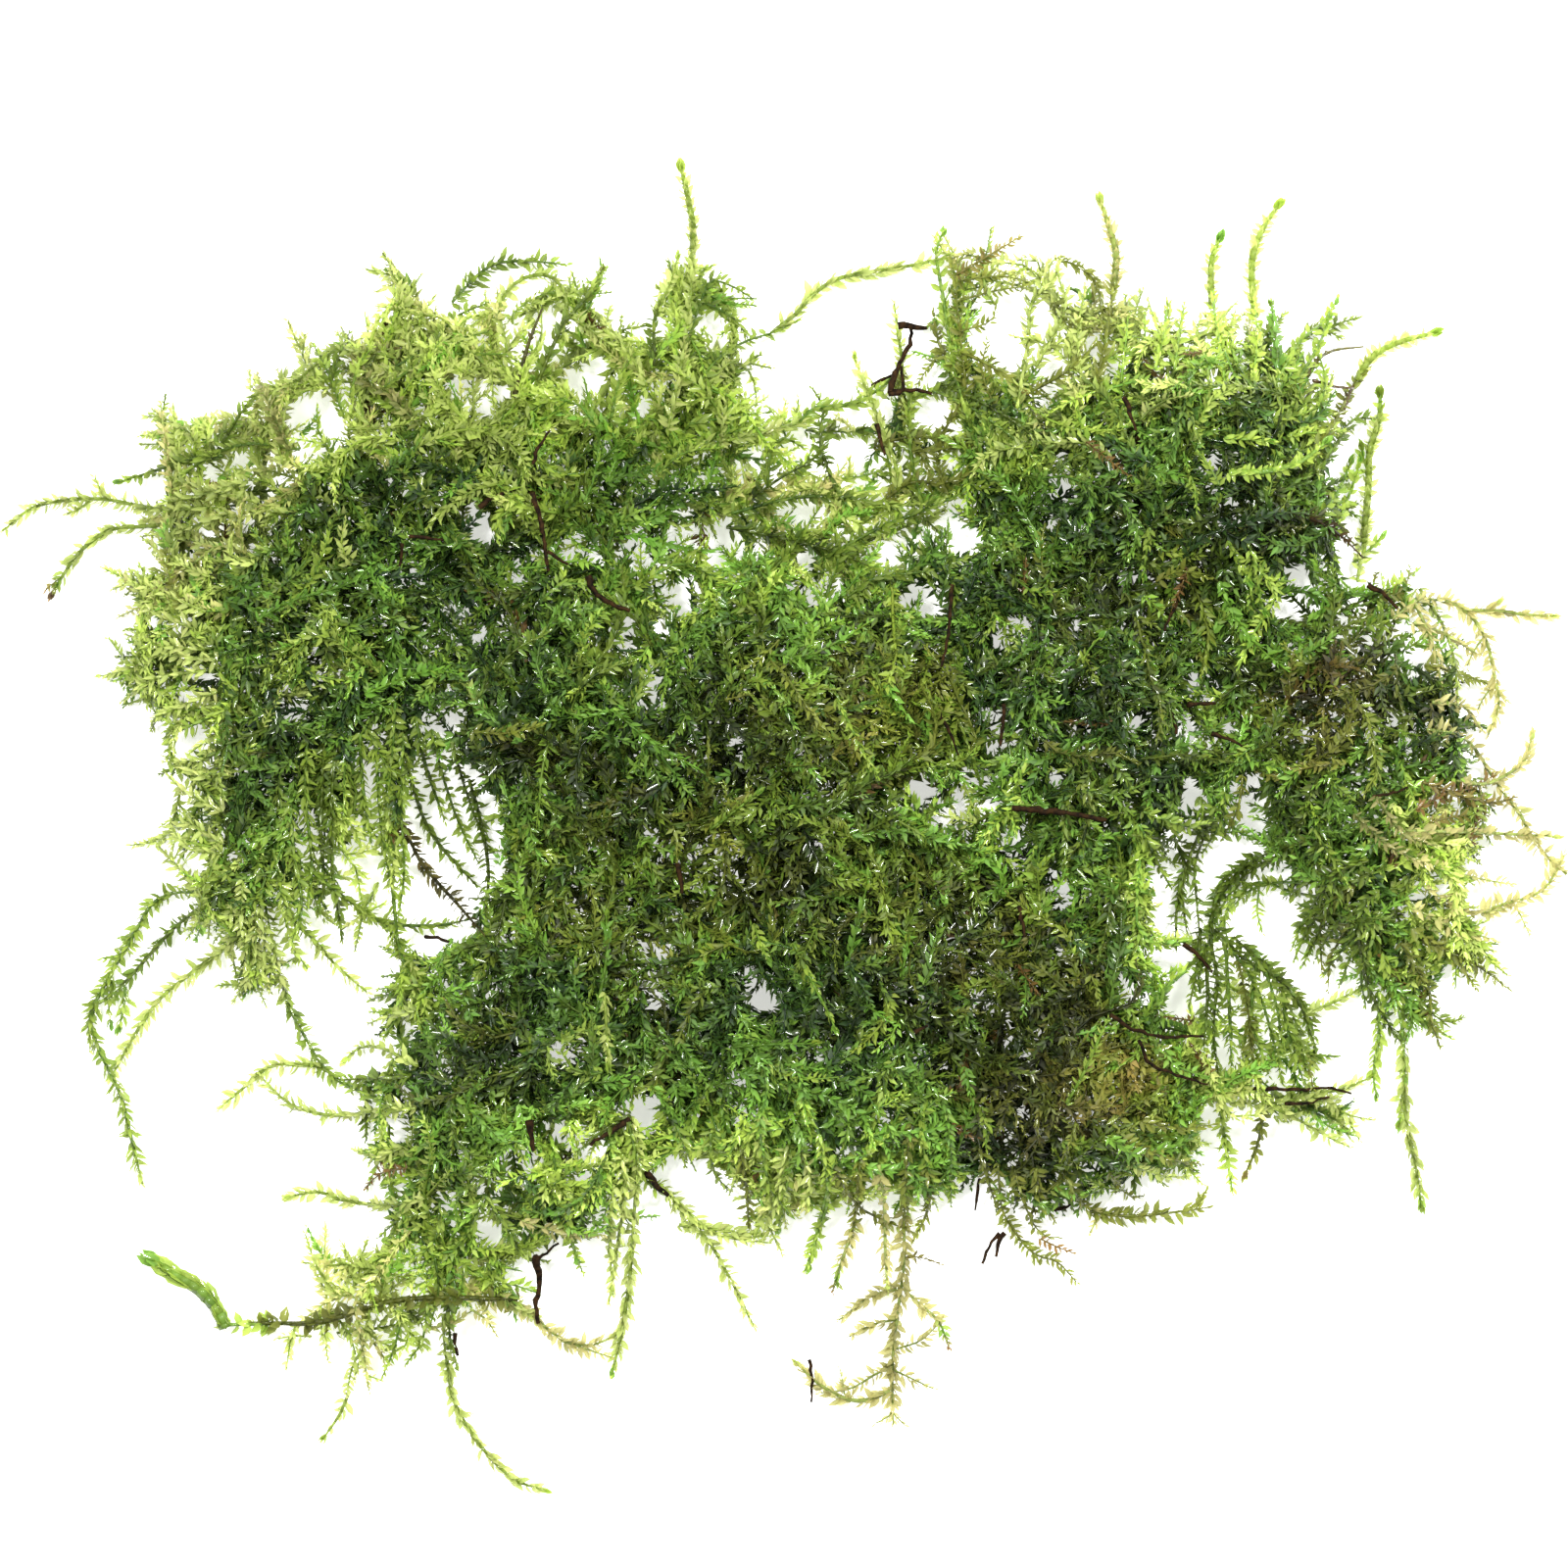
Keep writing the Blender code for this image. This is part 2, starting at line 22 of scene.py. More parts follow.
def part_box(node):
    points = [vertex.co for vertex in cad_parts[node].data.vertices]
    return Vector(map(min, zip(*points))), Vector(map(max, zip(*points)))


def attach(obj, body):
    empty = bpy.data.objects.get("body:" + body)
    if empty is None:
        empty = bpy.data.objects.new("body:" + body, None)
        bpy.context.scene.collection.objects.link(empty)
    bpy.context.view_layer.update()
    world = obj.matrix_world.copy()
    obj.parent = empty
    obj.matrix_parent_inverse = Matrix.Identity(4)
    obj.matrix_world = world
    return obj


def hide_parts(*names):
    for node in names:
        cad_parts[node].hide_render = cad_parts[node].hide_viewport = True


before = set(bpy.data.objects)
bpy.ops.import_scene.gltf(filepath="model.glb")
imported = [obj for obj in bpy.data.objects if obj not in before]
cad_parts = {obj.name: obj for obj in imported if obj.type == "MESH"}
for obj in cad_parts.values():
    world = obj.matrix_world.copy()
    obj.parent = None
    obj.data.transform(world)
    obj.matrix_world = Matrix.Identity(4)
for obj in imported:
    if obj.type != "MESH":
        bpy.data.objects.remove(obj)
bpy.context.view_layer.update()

LOG = logging.getLogger("moss_clump")
MM = 0.001
PALETTE_MAP = "OFBake"
STEP = 0.5              # distance from one pair of leaves to the next, in mm
CELL = 0.5              # cell of the heap's height map, in mm
MAP_HALF_X = 78.0       # half width of the height map, in mm
MAP_HALF_Y = 66.0       # half depth of the height map, in mm
SEAM_CELLS = 3          # seams up to twice this many cells between tufts are woven shut
FLOOR_CLEARANCE = 0.7   # lowest height of a stem over the table, in mm
LOOSE_INDEX = 90        # added to the sticks' seed for the loose ones
UP = np.array((0.0, 0.0, 1.0))


class Stage(Enum):
    """Leaf colours from dead through brown and green to yellow: place, deep colour, pale colour. The deep and
    pale colours are a painted-shade copy and a painted-light copy of each stage. They are mixed by a paleness
    that carries the leaves' own tone together with painted light and shade.
    """

    DEAD = (0.0, "#0b0905", "#4b3a24")
    RUSTY = (0.12, "#1f1406", "#8e6c34")
    BROWNISH = (0.25, "#161506", "#8e833c")
    OLIVE = (0.38, "#131a06", "#96a03b")
    MATURE = (0.5, "#0c1c06", "#8aa735")
    EMERALD = (0.62, "#08220d", "#7eb43f")
    FRESH = (0.75, "#1a3206", "#b2cd4c")
    LIME = (0.88, "#30480a", "#d4e37c")
    YELLOW = (1.0, "#484b12", "#e4da8e")

    @property
    def place(self) -> float:
        """Where the stage stands along the palette."""
        return self.value[0]


def linear(colour: str) -> tuple[float, float, float, float]:
    """Turn an sRGB hex colour into linear values.

    Args:
        colour: the colour as "#rrggbb".

    Returns:
        Linear red, green and blue, and an alpha of 1.
    """
    channels = [int(colour[start:start + 2], 16) / 255.0 for start in (1, 3, 5)]
    straight = [c / 12.92 if c <= 0.04045 else ((c + 0.055) / 1.055) ** 2.4 for c in channels]
    return (*straight, 1.0)


def add_node(tree: bpy.types.NodeTree, kind: str, inputs: dict | None = None,
             **settings: object) -> bpy.types.Node:
    """Add one node with its settings and its input values or links.

    Args:
        tree: the tree that gets the node.
        kind: the node's type name.
        inputs: values or output sockets, by input name or index.
        settings: properties of the node itself.

    Returns:
        The new node.
    """
    node = tree.nodes.new(kind)
    for name, value in settings.items():
        setattr(node, name, value)
    for socket, value in (inputs or {}).items():
        if isinstance(value, bpy.types.NodeSocket):
            tree.links.new(value, node.inputs[socket])
        else:
            node.inputs[socket].default_value = value
    return node


def new_tree(name: str) -> tuple[bpy.types.Material, bpy.types.NodeTree]:
    """Make an empty node material and return it with its tree."""
    material = bpy.data.materials.new(name)
    material.use_nodes = True
    material.node_tree.nodes.clear()
    return material, material.node_tree


@dataclass(frozen=True)
class LeafFinish:
    """Living moss leaf, one cell thick, under a film of water.

    The film gives small sharp glints, and the thin blade lets light through, so that
    shoots over the pale table glow and shoots over other shoots go deep green.
    """

    name: str
    roughness: float = 0.5
    film: float = 0.9
    film_roughness: float = 0.06
    film_index: float = 1.33
    specular: float = 0.3
    glow_gamma: float = 0.72
    thinness: float = 0.42

    def build(self) -> bpy.types.Material:
        """Make the material. It reads only the palette map: stage along U, and paleness along V, which mixes
        each stage's painted-shade and painted-light colours.
        """
        material, tree = new_tree(self.name)
        place = add_node(tree, "ShaderNodeUVMap", uv_map=PALETTE_MAP)
        axes = add_node(tree, "ShaderNodeSeparateXYZ", {0: place.outputs[0]})
        deep = self._ramp(tree, axes.outputs[0], 1)
        pale = self._ramp(tree, axes.outputs[0], 2)
        colour = add_node(tree, "ShaderNodeMix", {0: axes.outputs[1], 6: deep, 7: pale},
                          data_type="RGBA")
        glow = add_node(tree, "ShaderNodeGamma", {0: colour.outputs[2], 1: self.glow_gamma})
        blade = add_node(tree, "ShaderNodeBsdfPrincipled", {
            "Base Color": colour.outputs[2], "Roughness": self.roughness,
            "Specular IOR Level": self.specular, "Coat Weight": self.film,
            "Coat Roughness": self.film_roughness, "Coat IOR": self.film_index})
        through = add_node(tree, "ShaderNodeBsdfTranslucent", {0: glow.outputs[0]})
        mixed = add_node(tree, "ShaderNodeMixShader",
                         {0: self.thinness, 1: blade.outputs[0], 2: through.outputs[0]})
        add_node(tree, "ShaderNodeOutputMaterial", {0: mixed.outputs[0]})
        return material

    @staticmethod
    def _ramp(tree: bpy.types.NodeTree, place: bpy.types.NodeSocket,
              column: int) -> bpy.types.NodeSocket:
        """Lay the deep (1) or pale (2) colours of all stages along a ramp: each stage's colour in painted
        shade or in painted light.
        """
        ramp = add_node(tree, "ShaderNodeValToRGB", {0: place})
        stops = ramp.color_ramp.elements
        stages = list(Stage)
        while len(stops) < len(stages):
            stops.new(1.0)
        for stop, stage in zip(stops, stages):
            stop.position = stage.place
            stop.color = linear(stage.value[column])
        return ramp.outputs[0]


@dataclass(frozen=True)
class StemFinish:
    """Dead moss stem: bare, corky and soaked, so dark brown with a dull wet sheen."""

    name: str = "dead_stem_finish"
    dark: str = "#0b0704"
    light: str = "#35230f"
    fleck_mm: float = 0.5
    fleck_detail: float = 3.0
    fleck_range: tuple[float, float] = (0.35, 0.75)
    bump: float = 0.4
    bump_mm: float = 0.05
    roughness: float = 0.85
    specular: float = 0.08

    def build(self) -> bpy.types.Material:
        """Make the material, with flecks of paler cork along the stick."""
        material, tree = new_tree(self.name)
        axes = add_node(tree, "ShaderNodeTexCoord")
        fleck = add_node(tree, "ShaderNodeTexNoise", {
            "Vector": axes.outputs["Object"], "Scale": 1.0 / (self.fleck_mm * MM),
            "Detail": self.fleck_detail})
        ramp = add_node(tree, "ShaderNodeValToRGB", {0: fleck.outputs[0]})
        colours = (self.dark, self.light)
        for stop, place, colour in zip(ramp.color_ramp.elements, self.fleck_range, colours):
            stop.position = place
            stop.color = linear(colour)
        bump = add_node(tree, "ShaderNodeBump", {
            "Strength": self.bump, "Distance": self.bump_mm * MM, "Height": fleck.outputs[0]})
        bark = add_node(tree, "ShaderNodeBsdfPrincipled", {
            "Base Color": ramp.outputs[0], "Roughness": self.roughness,
            "Specular IOR Level": self.specular, "Normal": bump.outputs[0]})
        add_node(tree, "ShaderNodeOutputMaterial", {0: bark.outputs[0]})
        return material


@dataclass(frozen=True)
class TableFinish:
    """White light table: matt glass lit from below, which glows up through the shoots."""

    name: str = "white_table"
    colour: str = "#f6f6f4"
    light: str = "#fffffa"
    glow: float = 0.6
    roughness: float = 0.75
    specular: float = 0.2

    def build(self) -> bpy.types.Material:
        """Make the material."""
        material, tree = new_tree(self.name)
        top = add_node(tree, "ShaderNodeBsdfPrincipled",
                       {"Base Color": linear(self.colour), "Roughness": self.roughness,
                        "Specular IOR Level": self.specular, "Emission Color": linear(self.light),
                        "Emission Strength": self.glow})
        add_node(tree, "ShaderNodeOutputMaterial", {0: top.outputs[0]})
        return material


@dataclass
class Moulding:
    """One master shape as arrays: its points, its triangles, and how pale each point is.

    A leaf pales towards its tip, and its edges are darker than its rib: painted shade for the dark outline
    that light bending in the water film gives a wet leaf.
    """

    RIB_LEVEL = 0.4  # share of the length at which the rib has the leaf's own paleness
    PAINTED_EDGE_SHADE = 0.75  # painted shade: how much darker the edges are than the rib

    points: np.ndarray
    triangles: np.ndarray
    tint: np.ndarray

    @classmethod
    def from_bmesh(cls, bm: bmesh.types.BMesh) -> "Moulding":
        """Read a triangulated bmesh, and free it."""
        bmesh.ops.triangulate(bm, faces=bm.faces)
        bm.verts.index_update()
        points = np.array([vert.co[:] for vert in bm.verts])
        triangles = np.array([[vert.index for vert in face.verts] for face in bm.faces])
        bm.free()
        # The tip term is the leaf's own paling, and the edge term is painted shade.
        tint = np.clip(points[:, 1], 0.0, 1.0) - cls.RIB_LEVEL - cls.PAINTED_EDGE_SHADE * np.abs(points[:, 0])
        return cls(points, triangles, tint)


@dataclass(frozen=True)
class LeafBlade:
    """A moss leaf of unit length and half width: ovate, drawn out to a point, cupped."""

    folds: int = 3
    widest: float = 1.25
    fullness: float = 0.8
    cup: float = 0.42
    curl: float = -0.7

    def mould(self) -> Moulding:
        """Shape the blade from a narrow grid whose first and last rows are drawn to points."""
        bm = bmesh.new()
        bmesh.ops.create_grid(bm, x_segments=2, y_segments=self.folds, size=0.5)
        for vert in bm.verts:
            along = (vert.co.y + 0.5) ** self.widest
            half = math.sin(math.pi * (vert.co.y + 0.5)) ** self.fullness
            across = 2.0 * vert.co.x * half
            vert.co = Vector((across, along, self.cup * abs(across) + self.curl * along ** 2))
        bmesh.ops.remove_doubles(bm, verts=bm.verts, dist=1e-4)
        bmesh.ops.recalc_face_normals(bm, faces=bm.faces)
        return Moulding.from_bmesh(bm)


@dataclass(frozen=True)
class KeeledBlade:
    """A plainer moss leaf for the depth of the tangle: a pointed kite folded along its rib."""

    widest: float = 0.4
    cup: float = 0.3
    curl: float = -0.25

    def mould(self) -> Moulding:
        """Shape the blade from a four-cornered disc, split along the rib."""
        bm = bmesh.new()
        bmesh.ops.create_circle(bm, cap_ends=True, segments=4, radius=1.0)
        edges = [vert for vert in bm.verts if abs(vert.co.x) > 0.5]
        rib = sorted((vert for vert in bm.verts if vert not in edges), key=lambda vert: vert.co.y)
        bmesh.ops.connect_verts(bm, verts=rib)
        for vert in edges:
            vert.co = Vector((vert.co.x, self.widest, self.cup))
        rib[0].co = Vector((0.0, 0.0, 0.0))
        rib[1].co = Vector((0.0, 1.0, self.curl))
        return Moulding.from_bmesh(bm)


@dataclass(frozen=True)
class StemJoint:
    """One short joint of a stem, of unit length and radius."""

    sides: int = 3
    closed: bool = True
    taper: float = 0.92

    def mould(self) -> Moulding:
        """Shape the joint from a cone frustum laid along +Y."""
        bm = bmesh.new()
        bmesh.ops.create_cone(bm, cap_ends=self.closed, segments=self.sides, radius1=1.0,
                              radius2=self.taper, depth=1.0)
        bmesh.ops.rotate(bm, verts=bm.verts, cent=(0.0, 0.0, 0.0),
                         matrix=Matrix.Rotation(math.radians(-90.0), 3, "X"))
        bmesh.ops.translate(bm, verts=bm.verts, vec=(0.0, 0.5, 0.0))
        return Moulding.from_bmesh(bm)


FINE_LEAF = LeafBlade().mould()
PLAIN_LEAF = KeeledBlade().mould()
FINE_JOINT = StemJoint(sides=4).mould()
PLAIN_JOINT = StemJoint(closed=False).mould()


@dataclass(frozen=True)
class Habit:
    """How a shoot carries its leaves. Lengths are millimetres, angles are degrees."""

    leaf: float = 1.02
    width: float = 0.21
    spread: float = 50.0
    back_leaves: float = 0.75
    wave: float = 15.0
    stem: float = 0.15
    spacing: float = 1.0
    bud: int = 0
    lift: float = 8.0


class Habits(Enum):
    """The kinds of shoot in the clump."""

    WOVEN = Habit()
    FEATHERY = Habit(leaf=1.2, width=0.25, spread=52.0, back_leaves=0.6, wave=17.0, stem=0.16,
                     spacing=1.1)
    BRISTLY = Habit(leaf=1.05, width=0.18, spread=52.0, back_leaves=0.8, wave=19.0, stem=0.18)
    BEADED = Habit(leaf=1.05, width=0.23, spread=38.0, back_leaves=0.5, wave=13.0, stem=0.19,
                   spacing=1.2, bud=4)
    SPINY = Habit(leaf=0.85, width=0.2, spread=60.0, back_leaves=1.0, wave=16.0, stem=0.33,
                  bud=14)
    SPARSE = Habit(leaf=1.2, width=0.36, spread=66.0, back_leaves=0.3, spacing=1.7, stem=0.26)
    COMB = Habit(leaf=0.9, width=0.16, spread=58.0, back_leaves=0.3, stem=0.12)
    CATKIN = Habit(leaf=1.9, width=0.5, spread=13.0, back_leaves=1.0, wave=5.0, stem=0.6, bud=6,
                   lift=0.0)
    BARE = Habit(leaf=0.6, width=0.13, spread=35.0, back_leaves=0.2, spacing=3.0, stem=0.2)


@dataclass
class Shoots:
    """Many shoots as flat arrays, one row for each pair of leaves along them."""

    points: np.ndarray
    tangents: np.ndarray
    normals: np.ndarray
    to_tip: np.ndarray
    place: np.ndarray
    paleness: np.ndarray
    size: np.ndarray
    first: np.ndarray

    @classmethod
    def join(cls, parts: list["Shoots"]) -> "Shoots":
        """Join several sets of shoots into one."""
        names = cls.__dataclass_fields__
        return cls(**{name: np.concatenate([getattr(part, name) for part in parts])
                      for name in names})


def unit(vectors: np.ndarray) -> np.ndarray:
    """Scale each row to length one."""
    return vectors / np.maximum(np.linalg.norm(vectors, axis=-1, keepdims=True), 1e-9)


def turn(vectors: np.ndarray, axes: np.ndarray, angles: np.ndarray) -> np.ndarray:
    """Turn each row about its own unit axis.

    Args:
        vectors: the rows to turn.
        axes: the unit axes, one for each row.
        angles: the angles in radians, one for each row.

    Returns:
        The turned rows.
    """
    cos, sin = np.cos(angles)[:, None], np.sin(angles)[:, None]
    along = np.sum(vectors * axes, axis=1, keepdims=True) * axes
    return vectors * cos + np.cross(axes, vectors) * sin + along * (1.0 - cos)


def lean(start: np.ndarray, goal: np.ndarray, angles: np.ndarray) -> np.ndarray:
    """Lean each unit row towards the same row of another array, by its angle in radians."""
    return start * np.cos(angles)[:, None] + goal * np.sin(angles)[:, None]


def opening(to_tip: np.ndarray, least: float, full: float) -> np.ndarray:
    """Share that grows from its least at the tip to 1 where the tip is full mm away."""
    return least + (1.0 - least) * np.clip(to_tip / full, 0.0, 1.0)


def smoothed(values: np.ndarray, window: int) -> np.ndarray:
    """Average each value over a window of an odd number of values."""
    return np.convolve(np.pad(values, window // 2, mode="edge"), np.ones(window) / window, mode="valid")


def add_object(name: str, data: bpy.types.ID) -> bpy.types.Object:
    """Put a mesh, curve, lamp or camera in the scene as an object at the origin."""
    thing = bpy.data.objects.new(name, data)
    bpy.context.scene.collection.objects.link(thing)
    return thing


class HeapMap:
    """Height of the frame's tufts over the table, on a grid, with the distance to the rim."""

    RAY_START = 60.0  # height that the measuring rays start from
    GAP_MARGIN = 0.1  # what is added to a gap's half sizes
    GAP_WAVER = (0.42, 0.3)  # how far a gap's edge strays, in three lobes and in five
    RIM_PASSES = 40  # passes over the distance to the rim, each one cell further in
    FAR = 99.0  # more than any distance to the rim
    LUMPS = ((1.6, 7.0, 3.0), (1.1, 3.0, 9.0))  # rise and width in mm, and layer of the noise

    def __init__(self, tufts: list[str], gaps: tuple) -> None:
        """Measure the tufts from above.

        Args:
            tufts: names of the frame's tufts.
            gaps: see-through gaps as x, y, half width, half depth, in mm.
        """
        self.columns = int(2 * MAP_HALF_X / CELL) + 1
        self.rows = int(2 * MAP_HALF_Y / CELL) + 1
        self.top = np.zeros((self.rows, self.columns))
        self.owner = np.full((self.rows, self.columns), -1)
        for index, name in enumerate(tufts):
            self._measure(index, name)
        self._weave_seams()
        self.open = (self.top > 0.0) & ~self._gap_mask(gaps)
        self.rim = self._rim_distance(self.open)
        self.shore = self._rim_distance(self.top > 0.0)
        self.lumps = self._lumps()

    def _measure(self, index: int, name: str) -> None:
        """Drop rays on one tuft and note its top and its number."""
        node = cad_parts[name]
        tree = BVHTree.FromPolygons([v.co / MM for v in node.data.vertices],
                                    [p.vertices for p in node.data.polygons])
        low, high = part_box(name)
        for row in range(self._row(low.y / MM), self._row(high.y / MM) + 2):
            for column in range(self._column(low.x / MM), self._column(high.x / MM) + 2):
                x, y = column * CELL - MAP_HALF_X, row * CELL - MAP_HALF_Y
                hit = tree.ray_cast(Vector((x, y, self.RAY_START)), Vector((0.0, 0.0, -1.0)))[0]
                if hit is not None:
                    self.top[row, column] = hit.z
                    self.owner[row, column] = index

    @staticmethod
    def _around(layer: np.ndarray) -> np.ndarray:
        """Stack a layer with its eight neighbours."""
        padded = np.pad(layer, 1, mode="edge")
        rows, columns = layer.shape
        return np.stack([padded[row:row + rows, column:column + columns]
                         for row in range(3) for column in range(3)])

    def _weave_seams(self) -> None:
        """Carry the heap across the seams between tufts, where their shoots interlace."""
        closed = self.top > 0.0
        for _ in range(SEAM_CELLS):
            closed = self._around(closed).any(axis=0)
        for _ in range(SEAM_CELLS):
            closed = self._around(closed).all(axis=0)
        for _ in range(SEAM_CELLS + 1):
            bare = self.top <= 0.0
            spread_top, spread_owner = self._around(self.top), self._around(self.owner)
            self.top = np.where(bare, spread_top.max(axis=0), self.top)
            self.owner = np.where(bare, spread_owner.max(axis=0), self.owner)
        self.top = np.where(closed, self.top, 0.0)
        self.owner = np.where(closed, self.owner, -1)

    @staticmethod
    def _row(y: float) -> int:
        """Grid row of a y in mm."""
        return int(round((y + MAP_HALF_Y) / CELL))

    @staticmethod
    def _column(x: float) -> int:
        """Grid column of an x in mm."""
        return int(round((x + MAP_HALF_X) / CELL))

    def _gap_mask(self, gaps: tuple) -> np.ndarray:
        """Mark the cells in a see-through gap, whose edge wavers like the real ones."""
        ys, xs = np.mgrid[0:self.rows, 0:self.columns].astype(float)
        xs = xs * CELL - MAP_HALF_X
        ys = ys * CELL - MAP_HALF_Y
        mask = np.zeros(xs.shape, bool)
        for x, y, half_x, half_y in gaps:
            angle = np.arctan2(ys - y, xs - x)
            waver = (1.0 + self.GAP_WAVER[0] * np.sin(3.0 * angle + 5.0 * x)
                     + self.GAP_WAVER[1] * np.sin(5.0 * angle + 7.0 * y))
            across = (xs - x) / (half_x + self.GAP_MARGIN)
            down = (ys - y) / (half_y + self.GAP_MARGIN)
            mask |= across ** 2 + down ** 2 < waver ** 2
        return mask

    @staticmethod
    def _rim_distance(inside: np.ndarray) -> np.ndarray:
        """Distance of each inside cell to the nearest outside cell, in mm."""
        reach = np.where(inside, HeapMap.FAR, 0.0)
        for _ in range(HeapMap.RIM_PASSES):
            padded = np.pad(reach, 1)
            straight = np.minimum.reduce([padded[1:-1, :-2], padded[1:-1, 2:], padded[:-2, 1:-1],
                                          padded[2:, 1:-1]]) + CELL
            diagonal = np.minimum.reduce([padded[:-2, :-2], padded[:-2, 2:], padded[2:, :-2],
                                          padded[2:, 2:]]) + CELL * math.sqrt(2.0)
            reach = np.where(inside, np.minimum(reach, np.minimum(straight, diagonal)), 0.0)
        return reach

    def _lumps(self) -> np.ndarray:
        """Rise and fall of the tangle, in mm, on the same grid."""
        lumps = np.zeros((self.rows, self.columns))
        for row in range(self.rows):
            for column in range(self.columns):
                if self.top[row, column] > 0.0:
                    x, y = column * CELL, row * CELL
                    lumps[row, column] = sum(
                        rise * noise.noise(Vector((x / width, y / width, layer)))
                        for rise, width, layer in self.LUMPS)
        return lumps

    def sample(self, layer: np.ndarray, x: np.ndarray, y: np.ndarray) -> np.ndarray:
        """Read a layer at points in mm, smoothly between its cells.

        Args:
            layer: one of the map's grids.
            x: x of the points.
            y: y of the points.

        Returns:
            The layer's value at each point.
        """
        column = np.clip((x + MAP_HALF_X) / CELL, 0, self.columns - 2)
        row = np.clip((y + MAP_HALF_Y) / CELL, 0, self.rows - 2)
        left, low = column.astype(int), row.astype(int)
        right_share, high_share = column - left, row - low
        lower = layer[low, left] * (1 - right_share) + layer[low, left + 1] * right_share
        upper = layer[low + 1, left] * (1 - right_share) + layer[low + 1, left + 1] * right_share
        return lower * (1 - high_share) + upper * high_share


@dataclass
class Weave:
    """The growing of shoots over a height map, with its own seeded random draws."""

    NEVER = 999
    SHORTEST = 3  # steps
    BOLD_SHARE = 0.17  # of the shoots run straight on over gaps
    BOLD_SHORE = 3.0  # where the clump's rim is at least this far
    BEND_KEPT = 0.8  # share of its bend that a shoot keeps at each step
    BEND_DRAWN = 0.6  # share of its sway that is drawn anew
    ASIDE = 0.35  # angle at which it feels left and right, in radians
    STRAIGHT_LEAD = 0.35  # room by which straight on is preferred
    AMPLE = 2.2  # room past which no edge is felt
    STEER = 0.7  # share of the felt angle that is turned at once
    FEELER = 1.8  # how far ahead a shoot feels
    EDGE = 0.3  # room at an edge
    STOP_CHANCE = 0.5  # at each step at an edge
    UNDER_TOP = 1.2  # depth of the topmost shoots
    DEPTHS = (0.02, 1.05)  # least and greatest share of the heap's height
    DRIFT = 0.02  # of that share at each step
    LUMPS = (1.6, 4)  # greatest share of the lumps, and height of heap per share
    SETTLED = 5  # points over which the height is smoothed
    ROLL = 0.5  # scatter of the flat side's turn about the stem, in radians
    SPIN = 0.06  # scatter of its further turn at each step
    YOUNG = 4.0  # length of the paler tip
    STAGE_SCATTER = 0.02
    PALE_SCATTER = 0.07
    TAPER = (0.5, 2.4)  # leaf size at the tip, and the length it grows over
    KNOT_STEPS = 24  # track points from one given point to the next
    NESTLE = 0.9  # depth of a listed shoot in the heap's top
    LAID = 9  # points over which its height is smoothed

    heap: HeapMap
    seed: int
    draws: np.random.Generator = field(init=False)

    def __post_init__(self) -> None:
        """Start the random draws."""
        self.draws = np.random.default_rng(self.seed)

    def wander(self, start: np.ndarray, heading: np.ndarray, length: np.ndarray,
               depth: np.ndarray, sway: float) -> list[np.ndarray | None]:
        """Let shoots wander over the heap and turn back from gaps and the rim.

        Args:
            start: x, y of each root, in mm.
            heading: direction of each shoot, in radians.
            length: length of each shoot, in mm.
            depth: 1 on the surface of the heap, 0 on the table.
            sway: how much a shoot bends, in radians for each step.

        Returns:
            For each shoot its points, in mm, or None where it has no room.
        """
        steps = np.maximum(self.SHORTEST, (length / STEP).astype(int))
        place = start.copy()
        heading = heading.copy()
        bend = self.draws.normal(0.0, sway, len(start))
        stopped = np.full(len(start), self.NEVER)
        bold = self.draws.random(len(start)) < self.BOLD_SHARE
        stops = np.where(bold, 0.0, self.STOP_CHANCE)
        sides = np.array((0.0, self.ASIDE, -self.ASIDE))
        track = [place.copy()]
        for step in range(int(steps.max())):
            bend = self.BEND_KEPT * bend + self.draws.normal(0.0, sway * self.BEND_DRAWN, len(start))
            ahead = np.stack([self._room(place, heading + bend + side) for side in sides])
            ahead[0] += self.STRAIGHT_LEAD
            side = sides[np.argmax(np.minimum(ahead, self.AMPLE), axis=0)]
            shore = self.heap.sample(self.heap.shore, place[:, 0], place[:, 1])
            side = np.where(bold & (shore > self.BOLD_SHORE), 0.0, side)
            heading = heading + bend + side * self.STEER
            place = place + STEP * np.stack([np.cos(heading), np.sin(heading)], axis=1)
            room = self.heap.sample(self.heap.rim, place[:, 0], place[:, 1])
            shore = self.heap.sample(self.heap.shore, place[:, 0], place[:, 1])
            chance = np.where(shore < self.EDGE, self.STOP_CHANCE, stops)
            quits = (room < self.EDGE) & (self.draws.random(len(start)) < chance)
            stopped = np.where(quits & (stopped == self.NEVER), step + 1, stopped)
            track.append(place.copy())
        track = np.stack(track, axis=1)
        ends = np.minimum(steps, stopped)
        return [self._settle(track[i, :ends[i] + 1], depth[i]) if ends[i] >= self.SHORTEST else None
                for i in range(len(start))]

    def _room(self, place: np.ndarray, heading: np.ndarray) -> np.ndarray:
        """Distance to the rim a little way ahead."""
        ahead = place + self.FEELER * np.stack([np.cos(heading), np.sin(heading)], axis=1)
        return self.heap.sample(self.heap.rim, ahead[:, 0], ahead[:, 1])

    def _settle(self, track: np.ndarray, depth: float) -> np.ndarray:
        """Lay a track in the heap at its own depth."""
        x, y = track[:, 0], track[:, 1]
        top = self.heap.sample(self.heap.top, x, y)
        lumps = self.heap.sample(self.heap.lumps, x, y)
        drift = np.cumsum(self.draws.normal(0.0, self.DRIFT, len(x)))
        lump_most, lump_rise = self.LUMPS
        height = ((top - self.UNDER_TOP) * np.clip(depth + drift, *self.DEPTHS)
                  + lumps * np.minimum(lump_most, top / lump_rise))
        height = smoothed(np.maximum(height, FLOOR_CLEARANCE), self.SETTLED)
        return np.column_stack([x, y, height])

